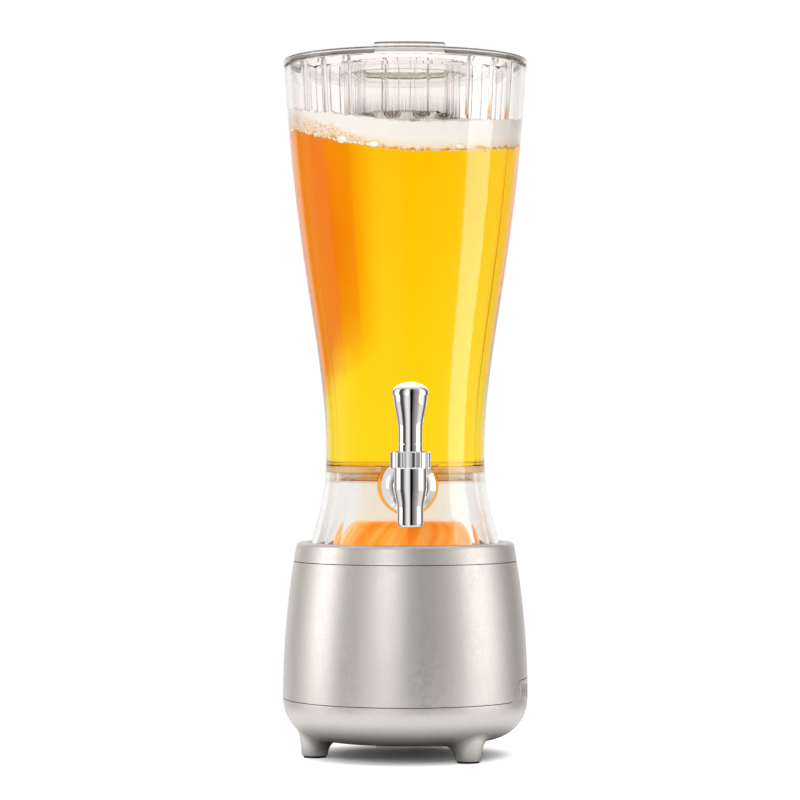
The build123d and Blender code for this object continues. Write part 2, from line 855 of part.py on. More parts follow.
# Push switch against the pan's post
with BuildPart() as switch_body:
    with BuildSketch(facing_plane(tongue_bearing, switch_inner)):
        with Locations((0, button_z)):
            Rectangle(switch_size, switch_size)
    extrude(amount=switch_outer - switch_inner)
    with BuildSketch(facing_plane(tongue_bearing, switch_bore_inner)):
        with Locations((0, button_z)):
            Circle(plunger_radius + loose_gap)
    extrude(amount=switch_outer - switch_bore_inner, mode=Mode.SUBTRACT)
switch_body.part.label = "switch_body"

# Button: cap through the tongue, flange behind it, plunger into the switch
with BuildPart() as lamp_button:
    with BuildSketch(facing_plane(tongue_bearing, button_flange_inner)):
        with Locations((0, button_z)):
            Circle(button_radius)
    extrude(amount=base_radius + button_proud - button_flange_inner)
    outer_rim = lamp_button.edges().group_by(Axis((0, 0, 0), tongue_plane.z_dir))[-1]
    fillet(outer_rim, button_round)
    with BuildSketch(facing_plane(tongue_bearing, button_flange_inner)):
        with Locations((0, button_z)):
            Circle(button_flange_radius)
    extrude(amount=button_flange_outer - button_flange_inner)
    with BuildSketch(facing_plane(tongue_bearing, plunger_inner)):
        with Locations((0, button_z)):
            Circle(plunger_radius)
    extrude(amount=button_flange_inner - plunger_inner)
lamp_button.part.label = "lamp_button"

# Leads from the holder up to the lamp board
lamp_paths = []
for across in (lead_apart / 2, -lead_apart / 2):
    with BuildLine(base_plane) as lamp_path:
        FilletPolyline(
            (lamp_lead_low, across, holder_top_z),
            (lamp_lead_low, across, lamp_lead_step_z),
            (lamp_lead_high, across, lamp_lead_step_z),
            (lamp_lead_high, across, tray_top_z),
            radius=lead_bend / 2,
        )
    lamp_paths.append(lamp_path)
with BuildPart() as lamp_leads:
    for lamp_path in lamp_paths:
        with BuildSketch(Plane(origin=lamp_path.line @ 0, z_dir=lamp_path.line % 0)):
            Circle(lead_radius)
        sweep(path=lamp_path.line)
lamp_leads.part.label = "lamp_leads"

# Leads from the holder over the post to the switch
switch_paths = []
switch_middle = (switch_inner + switch_outer) / 2
for across in (lead_apart / 2, -lead_apart / 2):
    with BuildLine(base_plane) as switch_path:
        FilletPolyline(
            (switch_lead_start, across, holder_top_z),
            (switch_lead_start, across, switch_lead_over_z),
            (switch_middle, across, switch_lead_over_z),
            (switch_middle, across, button_z + switch_size / 2),
            radius=lead_bend,
        )
    switch_paths.append(switch_path)
with BuildPart() as switch_leads:
    for switch_path in switch_paths:
        with BuildSketch(Plane(origin=switch_path.line @ 0, z_dir=switch_path.line % 0)):
            Circle(lead_radius)
        sweep(path=switch_path.line)
switch_leads.part.label = "switch_leads"

# Glide ring under the vessel's skirt
with BuildPart() as seat_ring:
    with BuildSketch(Plane.XY.offset(deck_z)):
        Circle(seat_ring_outer)
        Circle(seat_ring_inner, mode=Mode.SUBTRACT)
    extrude(amount=seat_ring_thick)
seat_ring.part.label = "seat_ring"

# Vessel: outside form, flat strips, tap seat, hollow, floor, sump and mouth ribs
with BuildPart() as vessel:
    with BuildSketch(Plane.XZ):
        with BuildLine():
            wall_line = Spline(*vessel_points(0))
            Polyline(
                wall_line @ 1,
                (rebate_radius, mouth_z),
                (rebate_radius, rim_top_z),
                (0, rim_top_z),
                (0, skirt_bottom_z),
                (skirt_radius, skirt_bottom_z),
                wall_line @ 0,
            )
        make_face()
    revolve(axis=Axis.Z)
    for strip_bearing in strip_bearings:
        with BuildSketch(upright_plane(front + strip_bearing)):
            with BuildLine():
                flat_line = Spline(*strip_points())
                Polyline(
                    flat_line @ 1,
                    (flat_line.position_at(1).X, rim_top_z + overrun),
                    (-reach, rim_top_z + overrun),
                    (-reach, skirt_bottom_z - overrun),
                    (flat_line.position_at(0).X, skirt_bottom_z - overrun),
                    flat_line @ 0,
                )
            make_face()
        extrude(amount=reach, both=True, mode=Mode.INTERSECT)
    with BuildSketch(facing_plane(front, sump_back)):
        with Locations((0, shank_z)):
            Circle(sump_radius)
    extrude(amount=tap_seat - sump_back)
    with BuildSketch(Plane.XZ):
        with BuildLine():
            hollow_line = Spline(*vessel_points(vessel_wall))
            Polyline(
                hollow_line @ 1,
                (mouth_radius - vessel_wall, rim_top_z + overrun),
                (0, rim_top_z + overrun),
                (0, skirt_bottom_z - overrun),
                (skirt_radius - vessel_wall, skirt_bottom_z - overrun),
                hollow_line @ 0,
            )
        make_face()
    revolve(axis=Axis.Z, mode=Mode.SUBTRACT)
    with BuildSketch(Plane.XY.offset(floor_under_z)):
        Circle(waist_radius - vessel_wall / 2)
    extrude(amount=floor_thick)
    with BuildSketch(Plane.XY.offset(floor_ring_z)):
        Circle(floor_ring_outer)
        Circle(floor_ring_inner, mode=Mode.SUBTRACT)
    extrude(amount=floor_under_z - floor_ring_z + floor_thick / 2)
    with BuildSketch(facing_plane(front, sump_back)):
        with Locations((0, shank_z)):
            Circle(sump_radius)
        with Locations((0, floor_under_z + floor_thick / 2)):
            Rectangle(2 * sump_radius, 2 * sump_radius, align=(Align.CENTER, Align.MIN), mode=Mode.SUBTRACT)
    extrude(amount=inner_seat - sump_back)
    with BuildSketch(facing_plane(front, sump_back)):
        with Locations((0, shank_z)):
            Rectangle(
                2 * sump_radius,
                floor_under_z + floor_thick / 2 - shank_z,
                align=(Align.CENTER, Align.MIN),
            )
    extrude(amount=sump_side_end - sump_back)
    with BuildSketch(facing_plane(front, sump_back + sump_wall)):
        with Locations((0, shank_z)):
            Circle(sump_inner_radius)
    extrude(amount=inner_seat - sump_back - sump_wall, mode=Mode.SUBTRACT)
    with BuildSketch(facing_plane(front, sump_back + sump_wall)):
        with Locations((0, shank_z)):
            Rectangle(
                2 * sump_inner_radius,
                floor_top_z + overrun - shank_z,
                align=(Align.CENTER, Align.MIN),
            )
    extrude(amount=sump_side_end - sump_back - 2 * sump_wall, mode=Mode.SUBTRACT)
    with BuildSketch(facing_plane(front, inner_seat - overrun)):
        with Locations((0, shank_z)):
            Circle(shank_hole_radius)
    extrude(amount=tap_seat - inner_seat + 2 * overrun, mode=Mode.SUBTRACT)
    rib_foot, rib_head = vessel_points(vessel_wall)[-2:]
    for rib_bearing in mouth_rib_bearings:
        with BuildSketch(upright_plane(front + rib_bearing)):
            with BuildLine():
                Polyline(
                    (rib_foot[0] + mouth_rib_bite, rib_foot[1]),
                    (rib_head[0] + mouth_rib_bite, rib_head[1]),
                    (rib_head[0] - mouth_rib_high, rib_head[1]),
                    (rib_foot[0] - mouth_rib_high, rib_foot[1] + 2 * mouth_rib_high),
                    close=True,
                )
            make_face()
        extrude(amount=mouth_rib_width / 2, both=True)
vessel.part.label = "vessel"

# Gasket between rose and vessel
with BuildPart() as outer_gasket:
    with BuildSketch(facing_plane(front, tap_seat)):
        with Locations((0, shank_z)):
            Circle(outer_gasket_radius)
            Circle(shank_hole_radius, mode=Mode.SUBTRACT)
    extrude(amount=gasket_thick)
outer_gasket.part.label = "outer_gasket"

# Rose around the shank
rose_step_end = gasket_face + rose_step
with BuildPart() as tap_escutcheon:
    with BuildSketch(shank_plane):
        with BuildLine():
            rim_line = Line((gasket_face, rose_radius), (gasket_face + rose_edge, rose_radius))
            Line(rim_line @ 1, (rose_step_end, rose_step_radius))
            bell = TangentArc(
                (rose_step_end, rose_step_radius),
                (rose_end, rose_neck_radius),
                tangent=(1, -1),
            )
            Polyline(
                bell @ 1,
                (rose_end, shank_radius + run_gap),
                (gasket_face, shank_radius + run_gap),
                rim_line @ 0,
            )
        make_face()
    revolve(axis=shank_axis)
tap_escutcheon.part.label = "tap_escutcheon"

# Tap body: barrel and spout, threaded neck, shank, valve chamber and seat
with BuildPart() as tap_body:
    with BuildSketch(tap_plane):
        with BuildLine():
            FilletPolyline(
                (0, spout_z),
                (spout_radius, spout_z),
                (spout_radius, spout_high_z),
                (barrel_radius, barrel_low_z),
                (barrel_radius, barrel_top_z),
                (neck_radius, barrel_top_z),
                (neck_radius, neck_top_z),
                (0, neck_top_z),
                radius=[0, spout_round, barrel_blend, barrel_blend, 0, 0, 0, 0],
                close=True,
            )
        make_face()
    revolve(axis=tap_axis)
    with BuildSketch(facing_plane(front, shank_end)):
        with Locations((0, shank_z)):
            Circle(shank_radius)
    extrude(amount=tap_reach - shank_end)
    with BuildSketch(facing_plane(front, rose_end)):
        with Locations((0, shank_z)):
            Circle(rose_neck_radius)
    extrude(amount=tap_reach - rose_end)
    with BuildSketch(tap_plane):
        with BuildLine():
            Polyline(
                (0, spout_z - overrun),
                (spout_bore_radius, spout_z - overrun),
                (spout_bore_radius, seat_under_z),
                (seat_radius, seat_under_z),
                (seat_radius, seat_z),
                (chamber_radius, seat_z),
                (chamber_radius, gland_z),
                (neck_bore_radius, gland_z),
                (neck_bore_radius, neck_relief_z),
                (neck_relief_radius, neck_top_z),
                (0, neck_top_z),
                close=True,
            )
        make_face()
    revolve(axis=tap_axis, mode=Mode.SUBTRACT)
    with BuildSketch(facing_plane(front, shank_end)):
        with Locations((0, shank_z)):
            Circle(shank_bore_radius)
    extrude(amount=tap_reach - shank_end, mode=Mode.SUBTRACT)
    with BuildSketch(Plane.YZ.offset(-barrel_radius)):
        with Locations((-tap_reach, pivot_z)):
            Circle(pivot_pin_radius + run_gap)
            Rectangle(
                2 * (pivot_pin_radius + run_gap),
                neck_top_z - pivot_z + overrun,
                align=(Align.CENTER, Align.MIN),
            )
    extrude(amount=2 * barrel_radius, mode=Mode.SUBTRACT)
tap_body.part.label = "tap_body"

# Gasket and nut inside the sump
with BuildPart() as inner_gasket:
    with BuildSketch(facing_plane(front, nut_face)):
        with Locations((0, shank_z)):
            Circle(inner_gasket_radius)
            Circle(shank_hole_radius, mode=Mode.SUBTRACT)
    extrude(amount=gasket_thick)
inner_gasket.part.label = "inner_gasket"

with BuildPart() as shank_nut:
    with BuildSketch(facing_plane(front, nut_face - nut_thick)):
        with Locations((0, shank_z)):
            RegularPolygon(nut_flats / 2, 6, major_radius=False)
            Circle(shank_radius + press_gap, mode=Mode.SUBTRACT)
    extrude(amount=nut_thick)
shank_nut.part.label = "shank_nut"

# Ribbed ring nut on the neck
with BuildPart() as bonnet_nut:
    with BuildSketch(tap_plane):
        with BuildLine():
            Polyline(
                (neck_radius + press_gap, barrel_top_z),
                (bonnet_radius - bonnet_chamfer, barrel_top_z),
                (bonnet_radius, barrel_top_z + bonnet_chamfer),
                (bonnet_radius, bonnet_top_z - bonnet_chamfer),
                (bonnet_radius - bonnet_chamfer, bonnet_top_z),
                (bonnet_mouth_radius, bonnet_top_z),
                (bonnet_lip_radius, bonnet_lip_z),
                (neck_radius + press_gap, bonnet_lip_z),
                close=True,
            )
        make_face()
    revolve(axis=tap_axis)
    with BuildSketch(Plane.XY.offset(barrel_top_z)):
        with Locations((0, -tap_reach)):
            with PolarLocations(bonnet_flute_circle, bonnet_flutes):
                Circle(bonnet_flute_radius)
    extrude(amount=bonnet_top_z - barrel_top_z, mode=Mode.SUBTRACT)
bonnet_nut.part.label = "bonnet_nut"

# Stem guide with the recess for its seal
ring_inner = stem_radius + press_gap
ring_outer = ring_inner + 2 * ring_minor
gland_recess_z = gland_z + gland_thick - 2 * ring_minor - press_gap
with BuildPart() as stem_gland:
    with BuildSketch(tap_plane):
        with BuildLine():
            Polyline(
                (stem_radius + run_gap, gland_z),
                (neck_bore_radius - press_gap, gland_z),
                (neck_bore_radius - press_gap, gland_z + gland_thick),
                (ring_outer + press_gap, gland_z + gland_thick),
                (ring_outer + press_gap, gland_recess_z),
                (stem_radius + run_gap, gland_recess_z),
                close=True,
            )
        make_face()
    revolve(axis=tap_axis)
stem_gland.part.label = "stem_gland"

with BuildPart() as stem_oring:
    with BuildSketch(tap_plane):
        with Locations((ring_inner + ring_minor, gland_recess_z + ring_minor)):
            Circle(ring_minor)
    revolve(axis=tap_axis)
stem_oring.part.label = "stem_oring"

# Valve stem with spring collar and the arm that the handle lifts
with BuildPart() as tap_stem:
    with BuildSketch(tap_plane):
        with BuildLine():
            Polyline(
                (0, stem_low_z),
                (stem_radius, stem_low_z),
                (stem_radius, stem_collar_z),
                (stem_collar_radius, stem_collar_z),
                (stem_collar_radius, stem_collar_z + stem_collar_thick),
                (stem_radius, stem_collar_z + stem_collar_thick),
                (stem_radius, arm_z + arm_thick / 2),
                (0, arm_z + arm_thick / 2),
                close=True,
            )
        make_face()
    revolve(axis=tap_axis)
    with BuildSketch(Plane.XY.offset(arm_z)):
        with Locations((0, -tap_reach - stem_radius)):
            Rectangle(2 * arm_half_width, stem_radius + arm_back, align=(Align.CENTER, Align.MIN))
    extrude(amount=arm_thick)
tap_stem.part.label = "tap_stem"

# Silicone cup that closes the seat
cup_seat_z = seat_z + seat_lift_gap
with BuildPart() as seat_cup:
    with BuildSketch(tap_plane):
        with BuildLine():
            Polyline(
                (0, cup_seat_z - cup_nose_long),
                (cup_nose_radius - cup_chamfer, cup_seat_z - cup_nose_long),
                (cup_nose_radius, cup_seat_z - cup_nose_long + cup_chamfer),
                (cup_nose_radius, cup_seat_z),
                (cup_radius, cup_seat_z),
                (cup_radius, stem_collar_z),
                (stem_radius + press_gap, stem_collar_z),
                (stem_radius + press_gap, stem_low_z),
                (0, stem_low_z),
                close=True,
            )
        make_face()
    revolve(axis=tap_axis)
seat_cup.part.label = "seat_cup"

# Return spring between the guide and the stem's collar
spring_low_z = stem_collar_z + stem_collar_thick + spring_wire
spring_high_z = gland_z - spring_wire
with BuildLine() as spring_path:
    Helix(
        (spring_high_z - spring_low_z) / spring_turns,
        spring_high_z - spring_low_z,
        spring_radius,
        center=(0, -tap_reach, spring_low_z),
    )
with BuildPart() as return_spring:
    with BuildSketch(Plane(origin=spring_path.line @ 0, z_dir=spring_path.line % 0)):
        Circle(spring_wire)
    sweep(path=spring_path.line, is_frenet=True)
return_spring.part.label = "return_spring"

# Lower part of the handle: ball in the neck, slot for the stem's arm, spigot for the grip
ball_flat_radius = math.sqrt(foot_ball_radius**2 - (pivot_z - foot_flat_z) ** 2)
with BuildPart() as handle_foot:
    with BuildSketch(tap_plane):
        with BuildLine():
            ball = RadiusArc(
                (ball_flat_radius, foot_flat_z),
                (foot_ball_radius, pivot_z),
                -foot_ball_radius,
            )
            Polyline(
                ball @ 1,
                (foot_ball_radius, foot_band_z),
                (foot_spigot_radius, foot_band_z),
                (foot_spigot_radius, foot_spigot_z),
                (0, foot_spigot_z),
                (0, foot_flat_z),
                ball @ 0,
            )
        make_face()
    revolve(axis=tap_axis)
    with BuildSketch(Plane.XY.offset(foot_flat_z - overrun)):
        with Locations((0, -tap_reach - slot_front)):
            Rectangle(2 * slot_half_width, slot_front + slot_back, align=(Align.CENTER, Align.MIN))
    extrude(amount=slot_roof_z - foot_flat_z + overrun, mode=Mode.SUBTRACT)
    with BuildSketch(Plane.YZ.offset(-neck_radius)):
        with Locations((-tap_reach, pivot_z)):
            Circle(pivot_pin_radius + press_gap)
    extrude(amount=2 * neck_radius, mode=Mode.SUBTRACT)
    with BuildSketch(Plane.YZ.offset(-neck_radius)):
        with Locations((lift_pin_back - tap_reach, lift_pin_z)):
            Circle(lift_pin_radius + press_gap)
    extrude(amount=2 * neck_radius, mode=Mode.SUBTRACT)
handle_foot.part.label = "handle_foot"

# Grip with its mushroom top
grip_seat_z = foot_band_z + grip_line
cap_edge_z = grip_cap_z + grip_cap_edge
# the crown's arc and the tighter arc at its edge meet smoothly at the shoulder
crown_rise = grip_top_z - cap_edge_z
edge_centre = grip_cap_radius - grip_edge_round
crown_round = (edge_centre**2 + crown_rise**2 - grip_edge_round**2) / (2 * (crown_rise - grip_edge_round))
shoulder_share = crown_round / (crown_round - grip_edge_round)
shoulder = (edge_centre * shoulder_share, grip_top_z - crown_round + (crown_round - crown_rise) * shoulder_share)
with BuildPart() as handle_grip:
    with BuildSketch(tap_plane):
        with BuildLine():
            side = Spline(
                (grip_neck_radius, grip_neck_z),
                *[
                    (
                        grip_neck_radius + r * (grip_top_radius - grip_neck_radius),
                        grip_neck_z + h * (grip_cap_z - grip_neck_z),
                    )
                    for h, r in grip_shares
                ],
                (grip_top_radius, grip_cap_z),
            )
            Polyline(side @ 1, (grip_cap_radius, grip_cap_z), (grip_cap_radius, cap_edge_z))
            TangentArc((grip_cap_radius, cap_edge_z), shoulder, tangent=(0, 1))
            dome = TangentArc((0, grip_top_z), shoulder, tangent=(1, 0))
            Polyline(
                dome @ 0,
                (0, foot_spigot_z + press_gap),
                (foot_spigot_radius + press_gap, foot_spigot_z + press_gap),
                (foot_spigot_radius + press_gap, grip_seat_z),
                (grip_neck_radius, grip_seat_z),
                side @ 0,
            )
        make_face()
    revolve(axis=tap_axis)
handle_grip.part.label = "handle_grip"

# Stub pins that the handle turns on
with BuildPart() as pivot_pins:
    for pin_start in (pivot_pin_inner, -pivot_pin_outer):
        with BuildSketch(Plane.YZ.offset(pin_start)):
            with Locations((-tap_reach, pivot_z)):
                Circle(pivot_pin_radius)
        extrude(amount=pivot_pin_outer - pivot_pin_inner)
pivot_pins.part.label = "pivot_pins"

# Cross pin under the stem's arm
with BuildPart() as lift_pin:
    with BuildSketch(Plane.YZ.offset(-lift_pin_half)):
        with Locations((lift_pin_back - tap_reach, lift_pin_z)):
            Circle(lift_pin_radius)
    extrude(amount=2 * lift_pin_half)
lift_pin.part.label = "lift_pin"

# Lid: flange, outer skirt, plug with a sunk deck, collar for the ice cup, thumb tab
with BuildPart() as lid:
    with BuildSketch(Plane.XZ) as lid_section:
        with BuildLine():
            Polyline(
                (lid_radius, lid_low_z),
                (lid_radius, lid_top_z),
                (lid_plug_radius - lid_plug_wall, lid_top_z),
                (lid_plug_radius - lid_plug_wall, lid_deck_z),
                (lid_hole_radius + lid_hole_wall, lid_deck_z),
                (lid_hole_radius + lid_hole_wall, lid_hole_top_z),
                (lid_hole_radius, lid_hole_top_z),
                (lid_hole_radius, lid_plug_z),
                (lid_plug_radius, lid_plug_z),
                (lid_plug_radius, lid_flange_z),
                (lid_skirt_inner, lid_flange_z),
                (lid_skirt_inner, lid_low_z),
                close=True,
            )
        make_face()
        fillet(lid_section.vertices().group_by(Axis.Y)[-1].sort_by(Axis.X)[-1], lid_edge_round)
    revolve(axis=Axis.Z)
    with BuildSketch(Plane.XY.offset(lid_flange_z)):
        with BuildLine():
            outer_edge = CenterArc((0, 0), lid_radius, front - tab_half_angle, 2 * tab_half_angle)
            inner_edge = CenterArc((0, 0), tab_inner_radius, front - tab_half_angle, 2 * tab_half_angle)
            Line(outer_edge @ 0, inner_edge @ 0)
            Line(outer_edge @ 1, inner_edge @ 1)
        make_face()
    extrude(amount=tab_top_z - lid_flange_z)
    tab_rims = lid.edges().group_by(Axis.Z)[-1]
    chamfer(tab_rims, tab_chamfer)
    with BuildSketch(Plane.XY.offset(lid_low_z - overrun)):
        with BuildLine():
            outer_edge = CenterArc((0, 0), reach, front - tab_half_angle, 2 * tab_half_angle)
            inner_edge = CenterArc((0, 0), lid_skirt_inner, front - tab_half_angle, 2 * tab_half_angle)
            Line(outer_edge @ 0, inner_edge @ 0)
            Line(outer_edge @ 1, inner_edge @ 1)
        make_face()
    extrude(amount=lid_flange_z - lid_low_z + overrun, mode=Mode.SUBTRACT)
lid.part.label = "lid"

# Soft ring between the lid's flange and the vessel's rim
with BuildPart() as lid_gasket:
    with BuildSketch(Plane.XY.offset(rim_top_z)):
        Circle(lid_gasket_outer)
        Circle(lid_gasket_inner, mode=Mode.SUBTRACT)
    extrude(amount=lid_flange_z - rim_top_z)
lid_gasket.part.label = "lid_gasket"

# Ice cup: fluted, hangs by its flange on the lid's collar
cup_top_z = lid_hole_top_z + cup_flange_thick
lobe_start = front + 180 / cup_lobes
with BuildPart() as ice_cup:
    with BuildSketch(Plane.XY.offset(cup_floor_z)):
        Circle(cup_core_radius)
    extrude(amount=cup_top_z - cup_floor_z)
    with BuildSketch(Plane.XY.offset(cup_lobe_z)):
        with PolarLocations(cup_lobe_circle, cup_lobes, start_angle=lobe_start):
            Circle(cup_lobe_radius)
    extrude(amount=lid_hole_top_z - cup_lobe_z)
    with Locations((0, 0, cup_lobe_z)):
        with PolarLocations(cup_lobe_circle, cup_lobes, start_angle=lobe_start):
            Sphere(cup_lobe_radius)
    with BuildSketch(Plane.XY.offset(lid_hole_top_z)):
        Circle(cup_flange_radius)
    extrude(amount=cup_flange_thick)
    with BuildSketch(Plane.XY.offset(cup_floor_z + cup_wall)):
        Circle(cup_core_radius - cup_wall)
    extrude(amount=cup_top_z - cup_floor_z - cup_wall, mode=Mode.SUBTRACT)
    with BuildSketch(Plane.XY.offset(cup_lobe_z)):
        with PolarLocations(cup_lobe_circle, cup_lobes, start_angle=lobe_start):
            Circle(cup_lobe_radius - cup_wall)
    extrude(amount=cup_top_z - cup_lobe_z, mode=Mode.SUBTRACT)
    with Locations((0, 0, cup_lobe_z)):
        with PolarLocations(cup_lobe_circle, cup_lobes, start_angle=lobe_start):
            Sphere(cup_lobe_radius - cup_wall, mode=Mode.SUBTRACT)
ice_cup.part.label = "ice_cup"

os.makedirs("parts", exist_ok=True)
export_step(base_shell.part, "parts/base_shell.step")
export_step(base_collar.part, "parts/base_collar.step")
export_step(bottom_pan.part, "parts/bottom_pan.step")
export_step(foot_pads.part, "parts/foot_pads.step")
export_step(base_screws.part, "parts/base_screws.step")
export_step(collar_screws.part, "parts/collar_screws.step")
export_step(lamp_dome.part, "parts/lamp_dome.step")
export_step(led_tray.part, "parts/led_tray.step")
export_step(tray_screws.part, "parts/tray_screws.step")
export_step(led_board.part, "parts/led_board.step")
export_step(leds.part, "parts/leds.step")
export_step(battery_holder.part, "parts/battery_holder.step")
export_step(battery_contacts.part, "parts/battery_contacts.step")
export_step(batteries.part, "parts/batteries.step")
export_step(battery_door.part, "parts/battery_door.step")
export_step(switch_body.part, "parts/switch_body.step")
export_step(lamp_button.part, "parts/lamp_button.step")
export_step(lamp_leads.part, "parts/lamp_leads.step")
export_step(switch_leads.part, "parts/switch_leads.step")
export_step(seat_ring.part, "parts/seat_ring.step")
export_step(vessel.part, "parts/vessel.step")
export_step(outer_gasket.part, "parts/outer_gasket.step")
export_step(tap_escutcheon.part, "parts/tap_escutcheon.step")
export_step(tap_body.part, "parts/tap_body.step")
export_step(inner_gasket.part, "parts/inner_gasket.step")
export_step(shank_nut.part, "parts/shank_nut.step")
export_step(bonnet_nut.part, "parts/bonnet_nut.step")
export_step(stem_gland.part, "parts/stem_gland.step")
export_step(stem_oring.part, "parts/stem_oring.step")
export_step(return_spring.part, "parts/return_spring.step")
export_step(tap_stem.part, "parts/tap_stem.step")
export_step(seat_cup.part, "parts/seat_cup.step")
export_step(handle_foot.part, "parts/handle_foot.step")
export_step(handle_grip.part, "parts/handle_grip.step")
export_step(pivot_pins.part, "parts/pivot_pins.step")
export_step(lift_pin.part, "parts/lift_pin.step")
export_step(lid.part, "parts/lid.step")
export_step(lid_gasket.part, "parts/lid_gasket.step")
export_step(ice_cup.part, "parts/ice_cup.step")
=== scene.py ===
import bisect
import json
import math
import random

import bpy
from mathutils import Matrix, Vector


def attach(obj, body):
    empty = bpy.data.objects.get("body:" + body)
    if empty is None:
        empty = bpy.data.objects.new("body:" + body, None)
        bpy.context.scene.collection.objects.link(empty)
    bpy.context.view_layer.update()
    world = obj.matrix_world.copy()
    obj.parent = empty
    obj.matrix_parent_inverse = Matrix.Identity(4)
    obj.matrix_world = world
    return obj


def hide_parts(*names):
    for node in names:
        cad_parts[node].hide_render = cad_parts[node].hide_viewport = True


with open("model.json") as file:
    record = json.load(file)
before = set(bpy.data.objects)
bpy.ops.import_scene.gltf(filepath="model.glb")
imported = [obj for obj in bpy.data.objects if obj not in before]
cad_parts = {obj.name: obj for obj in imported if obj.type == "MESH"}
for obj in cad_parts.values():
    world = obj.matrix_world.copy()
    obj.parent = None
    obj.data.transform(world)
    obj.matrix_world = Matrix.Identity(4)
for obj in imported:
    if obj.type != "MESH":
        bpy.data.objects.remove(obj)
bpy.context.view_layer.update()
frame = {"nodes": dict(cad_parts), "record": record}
nodes = frame["nodes"]
MM = 0.001
TURN = 2 * math.pi

# Levels of the drink, in metres, where it touches the vessel's wall
FLOOR_TOP = 195 * MM
BEER_FRONT = 402 * MM  # beer meets foam at the front of the wall
BEER_LEFT_RISE = 8.5 * MM  # the foam line climbs towards the left
BEER_RIGHT_DROP = 2.7 * MM
BEER_BACK_RISE = 27 * MM  # and towards the back, where the foam is thinner
BEER_STRETCH = 30 * MM  # the top of the beer's side follows the line
FOAM_DEEP = 18.5 * MM
FOAM_RIGHT_GAIN = 5 * MM
FOAM_BACK_LOSS = 13 * MM
FOAM_RAGGED = 0.5 * MM  # its top is uneven at the wall
FOAM_LUMP = 0.35 * MM  # and gently lumpy away from it
FOAM_PAINTED_PALE = 0.14  # away from the wall its underside is painted as pale as this share of its depth, for the light that scatters in the foam
FOAM_BITE = 0.6 * MM  # and it reaches this far into the beer
FOAM_WAVES = 16  # waves that run round the wall
FOAM_WAVE_CRESTS = (3, 60)  # fewest and most in one of them
FOAM_WAVE_TALL = (0.1 * MM, 0.3 * MM)  # least and most
FOAM_WAVE_LEAST = 0.5  # share of the waves where the foam is dense
FOAM_WALL_POWER = 6  # the waves die away from the wall by this power of the radius
FOAM_LUMPS = 12  # waves that cross the top
FOAM_LUMP_PITCH = 250  # their steepest, in radians a metre
FOAM_LOOSE_FROM = 0.25  # the foam is loose at the left, from this share of the radius
FOAM_LOOSE_MOST = 0.6
NEARLY = 0.99  # share of the radius or depth from which a point counts as on the edge
BUBBLE_DEEP = 2.4 * MM  # bubbles lie flat against the wall
BUBBLE_BITE = 0.5 * MM
# big bubbles: place across, height of the middle, width and tallness of each
BIG_BUBBLES = (
    (-43 * MM, 409.7 * MM, 8 * MM, 5.5 * MM),
    (-22.6 * MM, 405.7 * MM, 7 * MM, 4.5 * MM),
    (33 * MM, 404.7 * MM, 7.5 * MM, 3.6 * MM),
)
SMALL_BUBBLES = 320
BUBBLE_LEAST = 0.5 * MM  # sizes of the small ones
BUBBLE_MOST = 1.1 * MM
BUBBLE_LEFT_MOST = 1.9 * MM
BUBBLE_LEFT = -0.35  # the left starts here, as a share of the radius
BUBBLE_CROWD = 0.45  # the rest has this share of the left's bubbles
BUBBLE_REACH = 0.96  # they lie this far to each side, as a share of the radius
BUBBLE_WIDEN = 1.1
BUBBLE_LINE = (-1.1 * MM, 0.5 * MM)  # lowest and highest, from the line between beer and foam
WALL_BITE = 0.4 * MM  # the foam reaches this far into the wall, so no air shows between
BEER_GAP = 0.05 * MM  # between beer and wall

# The vessel's wall and sump, as in the solids
WALL_THICK = 3.2 * MM
FLOOR_UNDER = 191 * MM
FLOOR_ROUND = 3 * MM
SKIRT_BOTTOM = 133 * MM
SKIRT_STRAIGHT = 139 * MM
MOUTH = 463.8 * MM
RIM_TOP = 465.8 * MM
REBATE = 1.3 * MM
RING_IN = 45.5 * MM  # ring under the floor
RING_OUT = 48 * MM
RING_LOW = 185.5 * MM
EDGE_ROUND = 0.5 * MM
STRIP_BEARINGS = (37.5, 52.5, 127.5, 142.5, 217.5, 232.5, 307.5, 322.5)
STRIP_HALF = 7.5
STRIP_SLACK = 0.1  # bearings this near, in degrees, count as the same
BACK_STRIP_FLAT = 0.12  # the strips at the back are softer, so they draw no dark lines through the beer
RIB_BEARINGS = (30, 45, 60, 120, 135, 150, 210, 225, 240, 300, 315, 330)
RIB_LOW = 422 * MM
RIB_TALL = 2.2 * MM
RIB_WIDE = 1.5 * MM
RIB_BITE = 1.0 * MM
SUMP_HIGH = 183 * MM
SUMP_OUT = 19.3 * MM
SUMP_IN = 16.8 * MM
SUMP_BACK = 17.5 * MM
SUMP_SIDE = 45 * MM
SUMP_WALL = 2.5 * MM
TAP_SEAT = 57.5 * MM
SEAT_WALL = 3 * MM
SHANK_HOLE = 8.3 * MM
OVERRUN = MM  # joined and cut shapes run past each other
PLASTIC_IOR = 1.5
CUP_IOR = 1.22
BEER_IOR = 1.34
LID_LOW = 464.2 * MM
LID_TOP = 471.4 * MM
CUP_LOW = 425.5 * MM

# How finely the spun pieces are divided
VESSEL_STEPS = 240
BEER_STEPS = 192
FOAM_STEPS = 300
FOAM_RINGS = 14
DISC_RINGS = 12
FOOT_STEPS = 6
INNER_STEPS = 60
OUTER_STEPS = 84
SKIRT_STEPS = 22
ROD_SIDES = 96
WALL_SPACING = 1.5 * MM  # of the heights where the wall's radius is read
WELD = 0.001 * MM
BIG_BUBBLE_FACES = 4  # times that a bubble's faces are split
SMALL_BUBBLE_FACES = 2
# creases sharper than this stay sharp, in degrees
VESSEL_CREASE = 32
BEER_CREASE = 30
FOAM_CREASE = 60
BUBBLE_CREASE = 80
